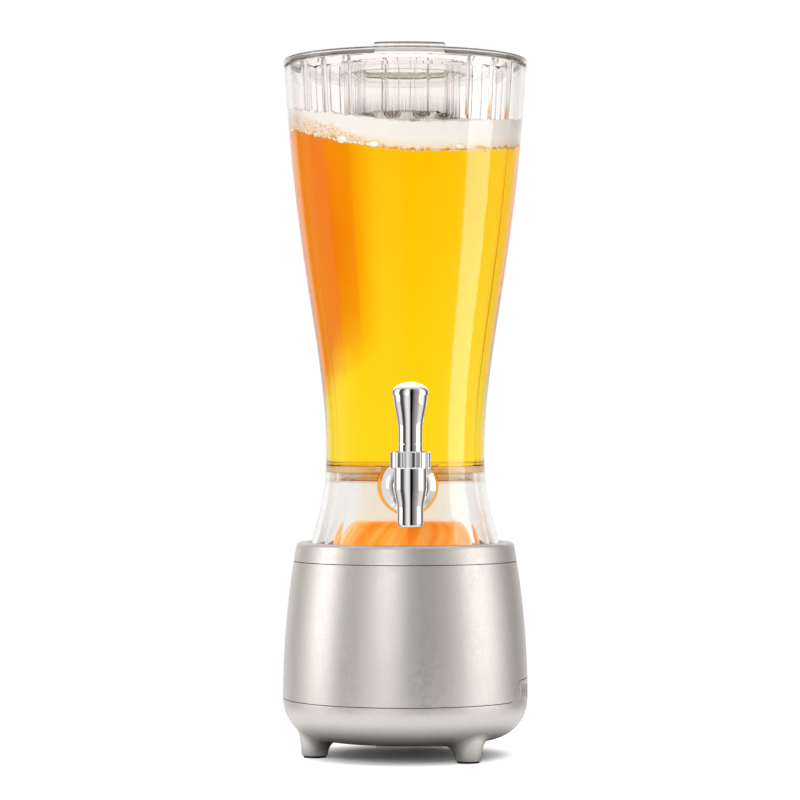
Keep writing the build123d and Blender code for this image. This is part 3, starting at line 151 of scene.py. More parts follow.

# Where the painted light and shade on the clear pieces start and end
MIDDLE_PAINTED_LIGHT = (22 * MM, 36 * MM)  # from the middle plane
SUMP_PAINTED_AMBER = (SUMP_OUT + 0.4 * MM, SUMP_OUT + 0.9 * MM)  # from the shank's line
GREY_PAINTED_SHADE = (418 * MM, 424 * MM)  # height
FLANGE_PAINTED_SHADE = (76 * MM, 78 * MM)  # from the axis
PAINTED_STREAK_SHADE = (CUP_LOW + 2 * MM, CUP_LOW + 18 * MM)  # height
PAINTED_OUTLINE_SHADE = (CUP_LOW + 14 * MM, CUP_LOW + 26 * MM)  # height
NOISE = (0.3, 0.7)  # most of a noise texture lies between these
# tints of the vessel, with painted light and shade where the lamp dome and the beer light the clear plastic:
# height in mm, tint at the sides, tint in the middle
TINTS_AND_PAINTED_LIGHT = (
    (133, "f2f1ee", "f2ebe0"),
    (184, "f2f1ee", "f2ebe0"),
    (185.5, "dccdbb", "e0b888"),
    (187, "eee8e0", "f2e2c5"),
    (190, "eee8e0", "f2e2c5"),
    (191, "d8c4ac", "c08a4a"),
    (192.5, "f0e6da", "cf9e57"),
    (194.5, "dcc09a", "c08a40"),
    (197, "fcfaf8", "fcfaf8"),
    (398, "fcfaf8", "fcfaf8"),
    (415, "faf8f7", "faf8f7"),
)


def linear(code):
    """An sRGB hex colour as linear red, green, blue and alpha."""
    parts = [int(code[i:i + 2], 16) / 255 for i in (0, 2, 4)]
    return [c / 12.92 if c <= 0.04045 else ((c + 0.055) / 1.055) ** 2.4 for c in parts] + [1.0]


def add(tree, kind, sockets=None, **settings):
    """Adds a node with its settings; a socket takes a plain value or another node's output."""
    new = tree.nodes.new(kind)
    for name, value in settings.items():
        setattr(new, name, value)
    for name, value in (sockets or {}).items():
        if isinstance(value, bpy.types.NodeSocket):
            tree.links.new(value, new.inputs[name])
        else:
            new.inputs[name].default_value = value
    return new


def start_material(name):
    """An empty material with its output, and the Object coordinates that patterns read."""
    made = bpy.data.materials.new(name)
    made.use_nodes = True
    made.node_tree.nodes.clear()
    out = add(made.node_tree, "ShaderNodeOutputMaterial")
    place = add(made.node_tree, "ShaderNodeTexCoord").outputs["Object"]
    return made, made.node_tree, out, place


def ramp(tree, value, stops):
    """A colour ramp through (place, hex colour) stops."""
    made = add(tree, "ShaderNodeValToRGB", {"Fac": value})
    while len(made.color_ramp.elements) < len(stops):
        made.color_ramp.elements.new(0.5)
    for element, (at, code) in zip(made.color_ramp.elements, stops):
        element.position = at
        element.color = linear(code)
    return made.outputs["Color"]


def map_range(tree, value, low, high, to_low, to_high):
    """A value moved from one range to another, held at its ends."""
    return add(
        tree,
        "ShaderNodeMapRange",
        {"Value": value, "From Min": low, "From Max": high, "To Min": to_low, "To Max": to_high},
    ).outputs["Result"]


# Camera: level, a long lens, a little left of the tap
CAMERA_AWAY = 2.025
CAMERA_HIGH = 0.22275
CAMERA_TURN = math.radians(-2.0)
CAMERA_LENS = 135
CAMERA_SENSOR = 36
CAMERA_SHIFT = (-0.006625, 0.03125)  # shares of the picture's width
camera_data = bpy.data.cameras.new("camera")
camera_data.lens = CAMERA_LENS
camera_data.sensor_width = CAMERA_SENSOR
camera_data.shift_x = CAMERA_SHIFT[0]
camera_data.shift_y = CAMERA_SHIFT[1]
camera = bpy.data.objects.new("camera", camera_data)
camera.location = (CAMERA_AWAY * math.sin(CAMERA_TURN), -CAMERA_AWAY * math.cos(CAMERA_TURN), CAMERA_HIGH)
camera.rotation_euler = (math.pi / 2, 0, CAMERA_TURN)
bpy.context.scene.collection.objects.link(camera)
bpy.context.scene.camera = camera
bpy.context.scene.view_settings.view_transform = "Standard"
bpy.context.scene.cycles.max_bounces = 24
bpy.context.scene.cycles.transmission_bounces = 20
bpy.context.scene.cycles.transparent_max_bounces = 16


# The room: how steeply a ray climbs where the ceiling and the warm wall start and are full
CEILING = (0.7, 0.95)
WARM_WALL = (0.12, 0.175)
THROUGH_STRENGTH = 1.12  # of what shows through clear plastic and beer


def studio_world():
    """White behind the object; chrome and paint see soft bands at the sides and a dark room in front."""
    world = bpy.data.worlds.new("studio")
    world.use_nodes = True
    tree = world.node_tree
    tree.nodes.clear()
    ray = add(tree, "ShaderNodeLightPath")
    along = add(tree, "ShaderNodeTexCoord").outputs["Generated"]
    parts = add(tree, "ShaderNodeSeparateXYZ", {"Vector": along})
    front = add(tree, "ShaderNodeMath", {0: parts.outputs["Y"], 1: -1.0}, operation="MULTIPLY").outputs[0]
    bearing = add(tree, "ShaderNodeMath", {0: parts.outputs["X"], 1: front}, operation="ARCTAN2")
    share = map_range(tree, bearing.outputs[0], -math.pi, math.pi, 0.0, 1.0)
    # share of the full turn: 0 and 1 behind, 0.25 left, 0.5 front, 0.75 right
    mirrored = ramp(
        tree,
        share,
        [
            (0.0, "ffffff"), (0.1, "ffffff"), (0.12, "6a6662"), (0.14, "6a6662"), (0.155, "b0aaa4"),
            (0.222, "f0eeeb"), (0.275, "f4f2f0"), (0.289, "9a9692"), (0.306, "4a4846"), (0.344, "4a4846"),
            (0.367, "8a8580"), (0.394, "e4e1de"), (0.444, "ffffff"), (0.483, "d8d5d2"), (0.497, "1a1a1a"),
            (0.508, "050505"), (0.536, "0a0a0a"), (0.55, "6a6866"), (0.583, "8e8b88"), (0.625, "aaa6a2"),
            (0.667, "c2beba"), (0.694, "f0eeec"), (0.764, "f4f2f0"), (0.794, "d8d4d0"), (0.817, "6a6763"),
            (0.861, "6a6763"), (0.9, "d8d4d0"), (0.93, "ffffff"), (1.0, "ffffff"),
        ],
    )
    high = map_range(tree, parts.outputs["Z"], *CEILING, 0.0, 1.0)
    top = add(tree, "ShaderNodeMix", {"Factor": high}, data_type="RGBA")
    tree.links.new(mirrored, top.inputs[6])
    top.inputs[7].default_value = linear("e6e4e2")
    # what shows through clear plastic and beer: white, with a warm wall high on the right
    warm = ramp(
        tree,
        share,
        [
            (0.0, "ffffff"), (0.17, "ffffff"), (0.21, "ccc8c4"), (0.3, "c4c0bc"), (0.7, "c4c0bc"),
            (0.79, "c8a888"), (0.84, "ffb868"), (0.9, "ee9a3a"), (0.945, "ee9a30"), (0.962, "f6cd90"),
            (0.975, "ffffff"),
        ],
    )
    plain = ramp(
        tree,
        share,
        [
            (0.0, "ffffff"), (0.17, "ffffff"), (0.21, "ccc8c4"), (0.3, "c4c0bc"), (0.7, "c4c0bc"),
            (0.79, "ccc8c4"), (0.83, "ffffff"), (1.0, "ffffff"),
        ],
    )
    lift = map_range(tree, parts.outputs["Z"], *WARM_WALL, 0.0, 1.0)
    through = add(tree, "ShaderNodeMix", {"Factor": lift}, data_type="RGBA")
    tree.links.new(plain, through.inputs[6])
    tree.links.new(warm, through.inputs[7])
    bent = add(tree, "ShaderNodeMix", {"Factor": ray.outputs["Is Transmission Ray"]}, data_type="RGBA")
    tree.links.new(top.outputs[2], bent.inputs[6])
    tree.links.new(through.outputs[2], bent.inputs[7])
    seen = add(tree, "ShaderNodeMix", {"Factor": ray.outputs["Is Camera Ray"]}, data_type="RGBA")
    tree.links.new(bent.outputs[2], seen.inputs[6])
    seen.inputs[7].default_value = (1, 1, 1, 1)
    strength = map_range(tree, ray.outputs["Is Transmission Ray"], 0.0, 1.0, 1.0, THROUGH_STRENGTH)
    sky = add(tree, "ShaderNodeBackground", {"Color": seen.outputs[2], "Strength": strength})
    add(tree, "ShaderNodeOutputWorld", {"Surface": sky.outputs[0]})
    bpy.context.scene.world = world


studio_world()


# The floor: distances from the axis, in metres
FLOOR_REACH = 0.42
FLOOR_FADE = (0.16, 0.26)  # in gloss it gives way to the room between these


def pale_floor():
    """Plain white floor that keeps the object's shadow and has a painted shadow right under the base."""
    bpy.ops.object.select_all(action="DESELECT")
    bpy.ops.mesh.primitive_circle_add(vertices=128, radius=FLOOR_REACH, fill_type="NGON")
    floor = bpy.context.object
    floor.name = "floor"
    made, tree, out, place = start_material("white_paper")
    ray = add(tree, "ShaderNodeLightPath")
    away = add(tree, "ShaderNodeVectorMath", {0: place}, operation="LENGTH").outputs["Value"]
    # painted shadow: light that bounces finds the paper dark under the base, which shades the pan and the
    # feet
    painted_shadow_bounce = ramp(tree, away, [(0.062, "181818"), (0.1, "c0c0c0")])
    shade = add(tree, "ShaderNodeMix", {"Factor": ray.outputs["Is Camera Ray"]}, data_type="RGBA")
    tree.links.new(painted_shadow_bounce, shade.inputs[6])
    shade.inputs[7].default_value = linear("f3f3f3")
    paper = add(tree, "ShaderNodeBsdfDiffuse", {"Color": shade.outputs[2]})
    # it glows a little, so it meets the white behind it, but not under the base, which paints a shadow there
    glow_with_painted_shadow = ramp(tree, away, [(0.045, "000000"), (0.062, "808080"), (0.08, "d8d8d8"), (0.12, "ffffff")])
    to_eye = add(
        tree,
        "ShaderNodeMath",
        {0: glow_with_painted_shadow, 1: ray.outputs["Is Camera Ray"]},
        operation="MULTIPLY",
    ).outputs[0]
    # painted shadow: in gloss the floor glows as well, but not under the base
    gloss_glow_with_painted_shadow = ramp(tree, away, [(0.068, "000000"), (0.105, "d4d4d4")])
    light = add(
        tree,
        "ShaderNodeMath",
        {0: gloss_glow_with_painted_shadow, 1: ray.outputs["Is Glossy Ray"], 2: to_eye},
        operation="MULTIPLY_ADD",
    ).outputs[0]
    glow = add(tree, "ShaderNodeEmission", {"Color": (1, 1, 1, 1), "Strength": light})
    both = add(tree, "ShaderNodeAddShader", {0: paper.outputs[0], 1: glow.outputs[0]})
    far = map_range(tree, away, *FLOOR_FADE, 0.0, 1.0)
    far = add(
        tree,
        "ShaderNodeMath",
        {0: far, 1: ray.outputs["Is Glossy Ray"]},
        operation="MULTIPLY",
    ).outputs[0]
    room = add(tree, "ShaderNodeBsdfTransparent")
    sheet = add(tree, "ShaderNodeMixShader", {0: far, 1: both.outputs[0], 2: room.outputs[0]})
    tree.links.new(sheet.outputs[0], out.inputs["Surface"])
    floor.data.materials.append(made)


pale_floor()


# Lamps: bearing from the front in degrees, distance, height, width, tallness, watts, shows in gloss, aim
MIDDLE = (0, 0, 0.22)
GRIP_SIDE = (0, -1.07, 0.217)
LAMPS = {
    "left_box": (-87, 1.6, 0.45, 0.75, 1.0, 4.5, True, MIDDLE),
    "right_box": (73, 1.6, 0.35, 1.0, 1.0, 4.0, True, MIDDLE),
    "front_box": (-19, 2.2, 0.6, 0.5, 0.7, 2.5, True, MIDDLE),
    "fill_box": (-12, 2.4, 0.9, 1.4, 1.2, 39, False, MIDDLE),
    "strip_box": (85, 1.6, 0.1, 0.85, 1.6, 46, True, MIDDLE),
    "rose_box": (-56, 1.2, 0.2, 0.5, 2.6, 3.2, True, MIDDLE),
    "cap_box": (0, 0.076, 0.338, 0.09, 0.165, 0.05, True, GRIP_SIDE),
}


def soft_box(name, bearing, away, high, wide, tall, watts, mirrored, aim):
    """Area lamp that stands at a bearing from the front and looks at a point."""
    lamp_data = bpy.data.lights.new(name, "AREA")
    lamp_data.shape = "RECTANGLE"
    lamp_data.size = wide
    lamp_data.size_y = tall
    lamp_data.energy = watts
    lamp = bpy.data.objects.new(name, lamp_data)
    turn = math.radians(bearing)
    lamp.location = (away * math.sin(turn), -away * math.cos(turn), high)
    look = Vector(aim) - lamp.location
    lamp.rotation_euler = look.to_track_quat("-Z", "Y").to_euler()
    lamp.visible_camera = False
    lamp.visible_transmission = False
    lamp.visible_glossy = mirrored
    bpy.context.scene.collection.objects.link(lamp)
    return lamp


def light_only(lamp, *pieces):
    """Lets a lamp light these pieces alone."""
    lit = bpy.data.collections.new(lamp.name + "_lit")
    for piece in pieces:
        lit.objects.link(piece)
    lamp.light_linking.receiver_collection = lit


lamps = {name: soft_box(name, *row) for name, row in LAMPS.items()}
light_only(lamps["rose_box"], nodes["tap_escutcheon"])
# a small soft box over the tap, in front of the vessel, whitens the top of the grip
grip_pieces = ("handle_grip", "handle_foot", "bonnet_nut", "tap_body")
light_only(lamps["cap_box"], *[nodes[name] for name in grip_pieces])


# Materials

def silver_lacquer():
    """Metallic lacquer sprayed on moulded ABS: satin, fine aluminium flake, a faint orange peel."""
    made, tree, out, place = start_material("silver_lacquer")
    flake = add(tree, "ShaderNodeTexNoise", {"Vector": place, "Scale": 1600.0, "Detail": 2.0})
    peel = add(tree, "ShaderNodeTexNoise", {"Vector": place, "Scale": 420.0, "Detail": 1.0})
    tint = ramp(tree, flake.outputs["Fac"], list(zip(NOISE, ("d2cec9", "dedad5"))))
    gloss = map_range(tree, peel.outputs["Fac"], *NOISE, 0.36, 0.44)
    bump = add(tree, "ShaderNodeBump", {"Height": peel.outputs["Fac"], "Strength": 0.03, "Distance": 0.0002})
    paint = add(
        tree,
        "ShaderNodeBsdfPrincipled",
        {"Base Color": tint, "Metallic": 0.75, "Roughness": gloss, "Normal": bump.outputs["Normal"]},
    )
    tree.links.new(paint.outputs[0], out.inputs["Surface"])
    return made


def clear_styrene(name, tint, rough, index, shine):
    """Clear moulded plastic: glossy both sides, a very slight warm grey, thin flow waves."""
    made, tree, out, place = start_material(name)
    colour = tint(tree, place) if callable(tint) else linear(tint)
    flow = add(tree, "ShaderNodeTexNoise", {"Vector": place, "Scale": 26.0, "Detail": 1.0})
    bump = add(tree, "ShaderNodeBump", {"Height": flow.outputs["Fac"], "Strength": 0.04, "Distance": 0.001})
    gloss = map_range(tree, flow.outputs["Fac"], *NOISE, 0.0, rough)
    clear = add(
        tree,
        "ShaderNodeBsdfPrincipled",
        {
            "Base Color": colour,
            "Roughness": gloss,
            "IOR": index,
            "Specular Tint": (shine, shine, shine, 1),
            "Transmission Weight": 1.0,
            "Normal": bump.outputs["Normal"],
        },
    )
    open_light = add(tree, "ShaderNodeBsdfTransparent", {"Color": colour})
    ray = add(tree, "ShaderNodeLightPath")
    passing = add(
        tree,
        "ShaderNodeMath",
        {0: ray.outputs["Is Shadow Ray"], 1: ray.outputs["Is Diffuse Ray"]},
        operation="MAXIMUM",
    )
    mixed = add(
        tree,
        "ShaderNodeMixShader",
        {0: passing.outputs[0], 1: clear.outputs[0], 2: open_light.outputs[0]},
    )
    tree.links.new(mixed.outputs[0], out.inputs["Surface"])
    return made


def vessel_tint_and_painted_light(tree, place):
    """Tint of the vessel by place: faint grey, with painted light and shade: peach near the lamp dome, gold
    at the beer's floor, an amber sump and grey edges above the foam.
    """
    parts = add(tree, "ShaderNodeSeparateXYZ", {"Vector": place})
    level = map_range(tree, parts.outputs["Z"], SKIRT_BOTTOM, RIM_TOP, 0.0, 1.0)
    shares = [(z * MM - SKIRT_BOTTOM) / (RIM_TOP - SKIRT_BOTTOM) for z, side, middle in TINTS_AND_PAINTED_LIGHT]
    sides = ramp(tree, level, list(zip(shares, [side for z, side, middle in TINTS_AND_PAINTED_LIGHT])))
    front = ramp(tree, level, list(zip(shares, [middle for z, side, middle in TINTS_AND_PAINTED_LIGHT])))
    across = add(tree, "ShaderNodeMath", {0: parts.outputs["X"]}, operation="ABSOLUTE").outputs[0]
    central = map_range(tree, across, *MIDDLE_PAINTED_LIGHT, 1.0, 0.0)
    up = add(tree, "ShaderNodeMix", {"Factor": central}, data_type="RGBA")
    tree.links.new(sides, up.inputs[6])
    tree.links.new(front, up.inputs[7])
    # painted light: the sump is full of beer, so its wall is painted amber, as the beer's colour spreads
    # through it
    off = add(tree, "ShaderNodeVectorMath", {0: place, 1: (0, 0, SUMP_HIGH)}, operation="SUBTRACT").outputs[0]
    off = add(tree, "ShaderNodeVectorMath", {0: off, 1: (1, 0, 1)}, operation="MULTIPLY").outputs[0]
    off = add(tree, "ShaderNodeVectorMath", {0: off}, operation="LENGTH").outputs["Value"]
    near = map_range(tree, off, *SUMP_PAINTED_AMBER, 1.0, 0.0)
    ahead = map_range(tree, parts.outputs["Y"], MM - SUMP_BACK, -SUMP_BACK, 0.0, 1.0)
    below = map_range(tree, parts.outputs["Z"], FLOOR_UNDER, FLOOR_UNDER + MM, 1.0, 0.0)
    sump = add(tree, "ShaderNodeMath", {0: near, 1: ahead}, operation="MULTIPLY").outputs[0]
    sump = add(tree, "ShaderNodeMath", {0: sump, 1: below}, operation="MULTIPLY").outputs[0]
    tint = add(tree, "ShaderNodeMix", {"Factor": sump}, data_type="RGBA")
    tree.links.new(up.outputs[2], tint.inputs[6])
    tint.inputs[7].default_value = linear("f2b660")
    # painted shade: above the foam the wall is painted grey where it is seen edge-on
    edge = add(tree, "ShaderNodeLayerWeight", {"Blend": 0.5}).outputs["Facing"]
    edge = map_range(tree, edge, 0.55, 1.0, 0.0, 0.55)
    above = map_range(tree, parts.outputs["Z"], *GREY_PAINTED_SHADE, 0.0, 1.0)
    edge = add(tree, "ShaderNodeMath", {0: edge, 1: above}, operation="MULTIPLY").outputs[0]
    grey = add(tree, "ShaderNodeMix", {"Factor": edge}, data_type="RGBA")
    tree.links.new(tint.outputs[2], grey.inputs[6])
    grey.inputs[7].default_value = linear("9c948e")
    return grey.outputs[2]


def lid_tint_and_painted_shade(tree, place):
    """Tint of the lid with painted shade: its flange and tab are seen edge-on, so their upper and lower edges
    are painted dark.
    """
    parts = add(tree, "ShaderNodeSeparateXYZ", {"Vector": place})
    level = map_range(tree, parts.outputs["Z"], LID_LOW, LID_TOP, 0.0, 1.0)
    edge = ramp(
        tree,
        level,
        [
            (0.0, "8a8682"), (0.1, "8a8682"), (0.2, "e2dedb"), (0.4, "e2dedb"), (0.47, "5e5a57"),
            (0.61, "5e5a57"), (0.66, "eae7e4"), (0.8, "eae7e4"), (0.88, "5a5653"), (1.0, "5a5653"),
        ],
    )
    flat = add(tree, "ShaderNodeVectorMath", {0: place, 1: (1, 1, 0)}, operation="MULTIPLY").outputs[0]
    away = add(tree, "ShaderNodeVectorMath", {0: flat}, operation="LENGTH").outputs["Value"]
    outer = map_range(tree, away, *FLANGE_PAINTED_SHADE, 0.0, 1.0)
    tint = add(tree, "ShaderNodeMix", {"Factor": outer}, data_type="RGBA")
    tint.inputs[6].default_value = linear("fcfaf8")
    tree.links.new(edge, tint.inputs[7])
    return tint.outputs[2]


def cup_tint_and_painted_shade(tree, place):
    """Tint of the ice cup: clear, with painted streaks of shade in the rounded ends of its fingers."""
    parts = add(tree, "ShaderNodeSeparateXYZ", {"Vector": place})
    bearing = add(tree, "ShaderNodeMath", {0: parts.outputs["X"], 1: parts.outputs["Y"]}, operation="ARCTAN2")
    turn = add(tree, "ShaderNodeCombineXYZ", {"X": bearing.outputs[0], "Y": 0.0, "Z": 0.0})
    streak = add(tree, "ShaderNodeTexNoise", {"Vector": turn.outputs[0], "Scale": 40.0, "Detail": 2.0})
    lines = ramp(tree, streak.outputs["Fac"], [(0.42, "fcfaf8"), (0.5, "d0ccc8"), (0.62, "74706c")])
    normal = add(tree, "ShaderNodeNewGeometry").outputs["Normal"]
    facing = add(tree, "ShaderNodeSeparateXYZ", {"Vector": normal})
    level = add(tree, "ShaderNodeMath", {0: facing.outputs["Z"]}, operation="ABSOLUTE").outputs[0]
    upright = map_range(tree, level, 0.75, 0.95, 1.0, 0.0)
    low = map_range(tree, parts.outputs["Z"], *PAINTED_STREAK_SHADE, 1.0, 0.0)
    low = add(tree, "ShaderNodeMath", {0: low, 1: upright}, operation="MULTIPLY").outputs[0]
    tint = add(tree, "ShaderNodeMix", {"Factor": low}, data_type="RGBA")
    tint.inputs[6].default_value = linear("fdfbf9")
    tree.links.new(lines, tint.inputs[7])
    # painted shade: the fingers are outlined dark where their walls are seen edge-on
    edge = add(tree, "ShaderNodeLayerWeight", {"Blend": 0.5}).outputs["Facing"]
    edge = map_range(tree, edge, 0.45, 0.9, 0.0, 0.7)
    reach = map_range(tree, parts.outputs["Z"], *PAINTED_OUTLINE_SHADE, 1.0, 0.2)
    edge = add(tree, "ShaderNodeMath", {0: edge, 1: reach}, operation="MULTIPLY").outputs[0]
    edge = add(tree, "ShaderNodeMath", {0: edge, 1: upright}, operation="MULTIPLY").outputs[0]
    outlined = add(tree, "ShaderNodeMix", {"Factor": edge}, data_type="RGBA")
    tree.links.new(tint.outputs[2], outlined.inputs[6])
    outlined.inputs[7].default_value = linear("84807c")
    return outlined.outputs[2]


def lager():
    """Filtered lager: clear, golden because it takes the blue light and some of the green.

    The wet wall bends the light, so the beer itself does not.
    """
    made, tree, out, place = start_material("lager")
    clear = add(
        tree,
        "ShaderNodeBsdfPrincipled",
        {"Base Color": (1, 1, 1, 1), "Roughness": 0.0, "IOR": 1.0, "Transmission Weight": 1.0},
    )
    ray = add(tree, "ShaderNodeLightPath")
    open_light = add(tree, "ShaderNodeBsdfTransparent", {"Color": linear("ffd27a")})
    mixed = add(
        tree,
        "ShaderNodeMixShader",
        {0: ray.outputs["Is Shadow Ray"], 1: clear.outputs[0], 2: open_light.outputs[0]},
    )
    gold = add(tree, "ShaderNodeVolumeAbsorption", {"Color": (0.999, 0.9106, 0.0, 1), "Density": 47.0})
    tree.links.new(mixed.outputs[0], out.inputs["Surface"])
    tree.links.new(gold.outputs[0], out.inputs["Volume"])
    return made


def foam_white():
    """Beer foam: tiny bubbles that scatter all light, cream white, amber lines where it meets the beer."""
    made, tree, out, place = start_material("foam_white")
    cells = add(tree, "ShaderNodeTexVoronoi", {"Vector": place, "Scale": 520.0}, feature="DISTANCE_TO_EDGE")
    small = add(tree, "ShaderNodeTexVoronoi", {"Vector": place, "Scale": 1500.0})
    level = add(tree, "ShaderNodeAttribute", attribute_name="level").outputs["Fac"]
    loose = add(tree, "ShaderNodeAttribute", attribute_name="loose").outputs["Fac"]
    drift = add(tree, "ShaderNodeTexNoise", {"Vector": place, "Scale": 300.0, "Detail": 3.0})
    uneven = add(tree, "ShaderNodeMath", {0: drift.outputs["Fac"], 1: -0.5}, operation="ADD")
    uneven = add(tree, "ShaderNodeMath", {0: uneven.outputs[0], 1: 0.35, 2: level}, operation="MULTIPLY_ADD")
    tint = ramp(
        tree,
        uneven.outputs[0],
        [(0.0, "b06c14"), (0.045, "d8a658"), (0.1, "e0d2b8"), (0.4, "e2ded6"), (1.0, "e0dcd6")],
    )
    # the films between bubbles show amber, low in the foam and where it is loose
    film = map_range(tree, cells.outputs["Distance"], 0.0, 0.16, 1.0, 0.0)
    depth = add(tree, "ShaderNodeMath", {0: uneven.outputs[0], 1: loose}, operation="SUBTRACT")
    shown = map_range(tree, depth.outputs[0], 0.02, 0.2, 0.75, 0.0)
    line = add(tree, "ShaderNodeMath", {0: film, 1: shown}, operation="MULTIPLY").outputs[0]
    coloured = add(tree, "ShaderNodeMix", {"Factor": line}, data_type="RGBA")
    tree.links.new(tint, coloured.inputs[6])
    coloured.inputs[7].default_value = linear("c98a34")
    heap = add(
        tree,
        "ShaderNodeMath",
        {0: cells.outputs["Distance"], 1: small.outputs["Distance"]},
        operation="ADD",
    )
    bump = add(tree, "ShaderNodeBump", {"Height": heap.outputs[0], "Strength": 0.3, "Distance": 0.0006})
    # painted light: the foam glows with a fifth of its colour, for the light that scatters in it
    froth = add(
        tree,
        "ShaderNodeBsdfPrincipled",
        {
            "Base Color": coloured.outputs[2],
            "Roughness": 0.55,
            "Normal": bump.outputs["Normal"],
            "Emission Color": coloured.outputs[2],
            "Emission Strength": 0.2,
        },
    )
    tree.links.new(froth.outputs[0], out.inputs["Surface"])
    return made


def bubble_film_painted_light():
    """Bubble against the wall, with painted light and shade: its middle is painted pale as if froth showed
    through, its rim amber where the film is edge-on.
    """
    made, tree, out, place = start_material("bubble_film_painted_light")
    rim = add(tree, "ShaderNodeLayerWeight", {"Blend": 0.5}).outputs["Facing"]
    speck = add(tree, "ShaderNodeTexNoise", {"Vector": place, "Scale": 900.0, "Detail": 2.0})
    uneven = add(tree, "ShaderNodeMath", {0: speck.outputs["Fac"], 1: 0.25, 2: rim}, operation="MULTIPLY_ADD")
    tint = ramp(
        tree, uneven.outputs[0], [(0.1, "fbf6ea"), (0.5, "f6e6c4"), (0.66, "cf8e34"), (0.9, "8a500c")]
    )
    film = add(tree, "ShaderNodeBsdfPrincipled", {"Base Color": tint, "Roughness": 0.15})
    tree.links.new(film.outputs[0], out.inputs["Surface"])
    return made


def amber_lens():
    """Amber moulded lens, lit from below: streaks run down its side like the grain of a diffuser."""
    made, tree, out, place = start_material("amber_lens")
    parts = add(tree, "ShaderNodeSeparateXYZ", {"Vector": place})
    bearing = add(
        tree, "ShaderNodeMath", {0: parts.outputs["X"], 1: parts.outputs["Y"]}, operation="ARCTAN2"
    ).outputs[0]
    slant = add(
        tree,
        "ShaderNodeMath",
        {0: parts.outputs["Z"], 1: 12.0, 2: bearing},
        operation="MULTIPLY_ADD",
    )
    turn = add(tree, "ShaderNodeCombineXYZ", {"X": slant.outputs[0], "Y": parts.outputs["Z"], "Z": 0.0})
    streak = add(tree, "ShaderNodeTexNoise", {"Vector": turn.outputs[0], "Scale": 4.0, "Detail": 4.0})
    tint = ramp(tree, streak.outputs["Fac"], [(0.36, "f28a18"), (0.5, "fb9c2c"), (0.68, "ffc470")])
    # painted light: the lens is paler at its rim, where it is seen edge-on
    rim = add(tree, "ShaderNodeLayerWeight", {"Blend": 0.4}).outputs["Facing"]
    edge = map_range(tree, rim, 0.45, 0.95, 0.0, 0.8)
    painted_pale_rim = add(tree, "ShaderNodeMix", {"Factor": edge}, data_type="RGBA")
    tree.links.new(tint, painted_pale_rim.inputs[6])
    painted_pale_rim.inputs[7].default_value = linear("ffdcb4")
    tint = painted_pale_rim.outputs[2]
    lens = add(
        tree,
        "ShaderNodeBsdfPrincipled",
        {
            "Base Color": tint,
            "Roughness": 0.25,
            "Transmission Weight": 0.0,
            "Emission Color": tint,
            "Emission Strength": 0.45,
        },
    )
    tree.links.new(lens.outputs[0], out.inputs["Surface"])
    return made


def chrome_plate():
    """Bright chrome on cast zinc: a mirror, with the slightest polishing haze."""
    made, tree, out, place = start_material("chrome_plate")
    haze = add(tree, "ShaderNodeTexNoise", {"Vector": place, "Scale": 180.0, "Detail": 2.0})
    gloss = map_range(tree, haze.outputs["Fac"], *NOISE, 0.02, 0.06)
    plate = add(
        tree,
        "ShaderNodeBsdfPrincipled",
        {"Base Color": linear("eeeef0"), "Metallic": 1.0, "Roughness": gloss},
    )
    tree.links.new(plate.outputs[0], out.inputs["Surface"])
    return made


def moulded(name, low, high, rough, scale=900.0, metallic=0.0):
    """Moulded or turned stock with a fine even grain in colour and gloss."""
    made, tree, out, place = start_material(name)
    grain = add(tree, "ShaderNodeTexNoise", {"Vector": place, "Scale": scale, "Detail": 2.0})
    tint = ramp(tree, grain.outputs["Fac"], list(zip(NOISE, (low, high))))
    gloss = map_range(tree, grain.outputs["Fac"], *NOISE, rough * 0.85, rough * 1.15)
    bump = add(tree, "ShaderNodeBump", {"Height": grain.outputs["Fac"], "Strength": 0.05, "Distance": 0.0002})
    stock = add(
        tree,
        "ShaderNodeBsdfPrincipled",
        {"Base Color": tint, "Roughness": gloss, "Metallic": metallic, "Normal": bump.outputs["Normal"]},
    )
    tree.links.new(stock.outputs[0], out.inputs["Surface"])
    return made


FINISHES = {
    "silver_paint": silver_lacquer(),
    "clear_plastic": clear_styrene("clear_styrene", "fcfaf8", 0.03, PLASTIC_IOR, 1.0),
    "amber_plastic": amber_lens(),
    "white_plastic": moulded("white_abs", "dedcd6", "e6e4de", 0.4),
    "black_plastic": moulded("black_abs", "17171a", "1f1f22", 0.45),
    "soft_rubber": moulded("black_rubber", "151515", "202020", 0.75),
    "clear_silicone": moulded("silicone", "d6d4cf", "dedcd8", 0.45),
    "bright_chrome": chrome_plate(),
    "steel": moulded("zinc_plated_steel", "9a9a98", "aaaaa8", 0.3, metallic=1.0),
    "board": moulded("board_laminate", "e4e6e2", "eceeea", 0.5),
    "lamp": moulded("lamp_epoxy", "f6dfa6", "fbe8b8", 0.25),
    "cell": moulded("cell_wrap", "2a2b30", "34353a", 0.3),
    "lead": moulded("lead_pvc", "8f1f1b", "9c2a24", 0.45),
}
for row in frame["record"]["subparts"]:
    piece = nodes[row["node"]]
    piece.data.materials.clear()
    piece.data.materials.append(FINISHES[row["material_slot"]])
nodes["lid"].data.materials[0] = clear_styrene("lid_styrene", lid_tint_and_painted_shade, 0.03, PLASTIC_IOR, 0.6)
nodes["ice_cup"].data.materials[0] = clear_styrene("cup_styrene", cup_tint_and_painted_shade, 0.03, CUP_IOR, 0.4)


# The vessel

BACK_SHARE = 0.45  # a point is at the back where its place across is under this share of its place back
FACING_IN = 0.8  # a face of the inner wall looks at the axis at least this squarely


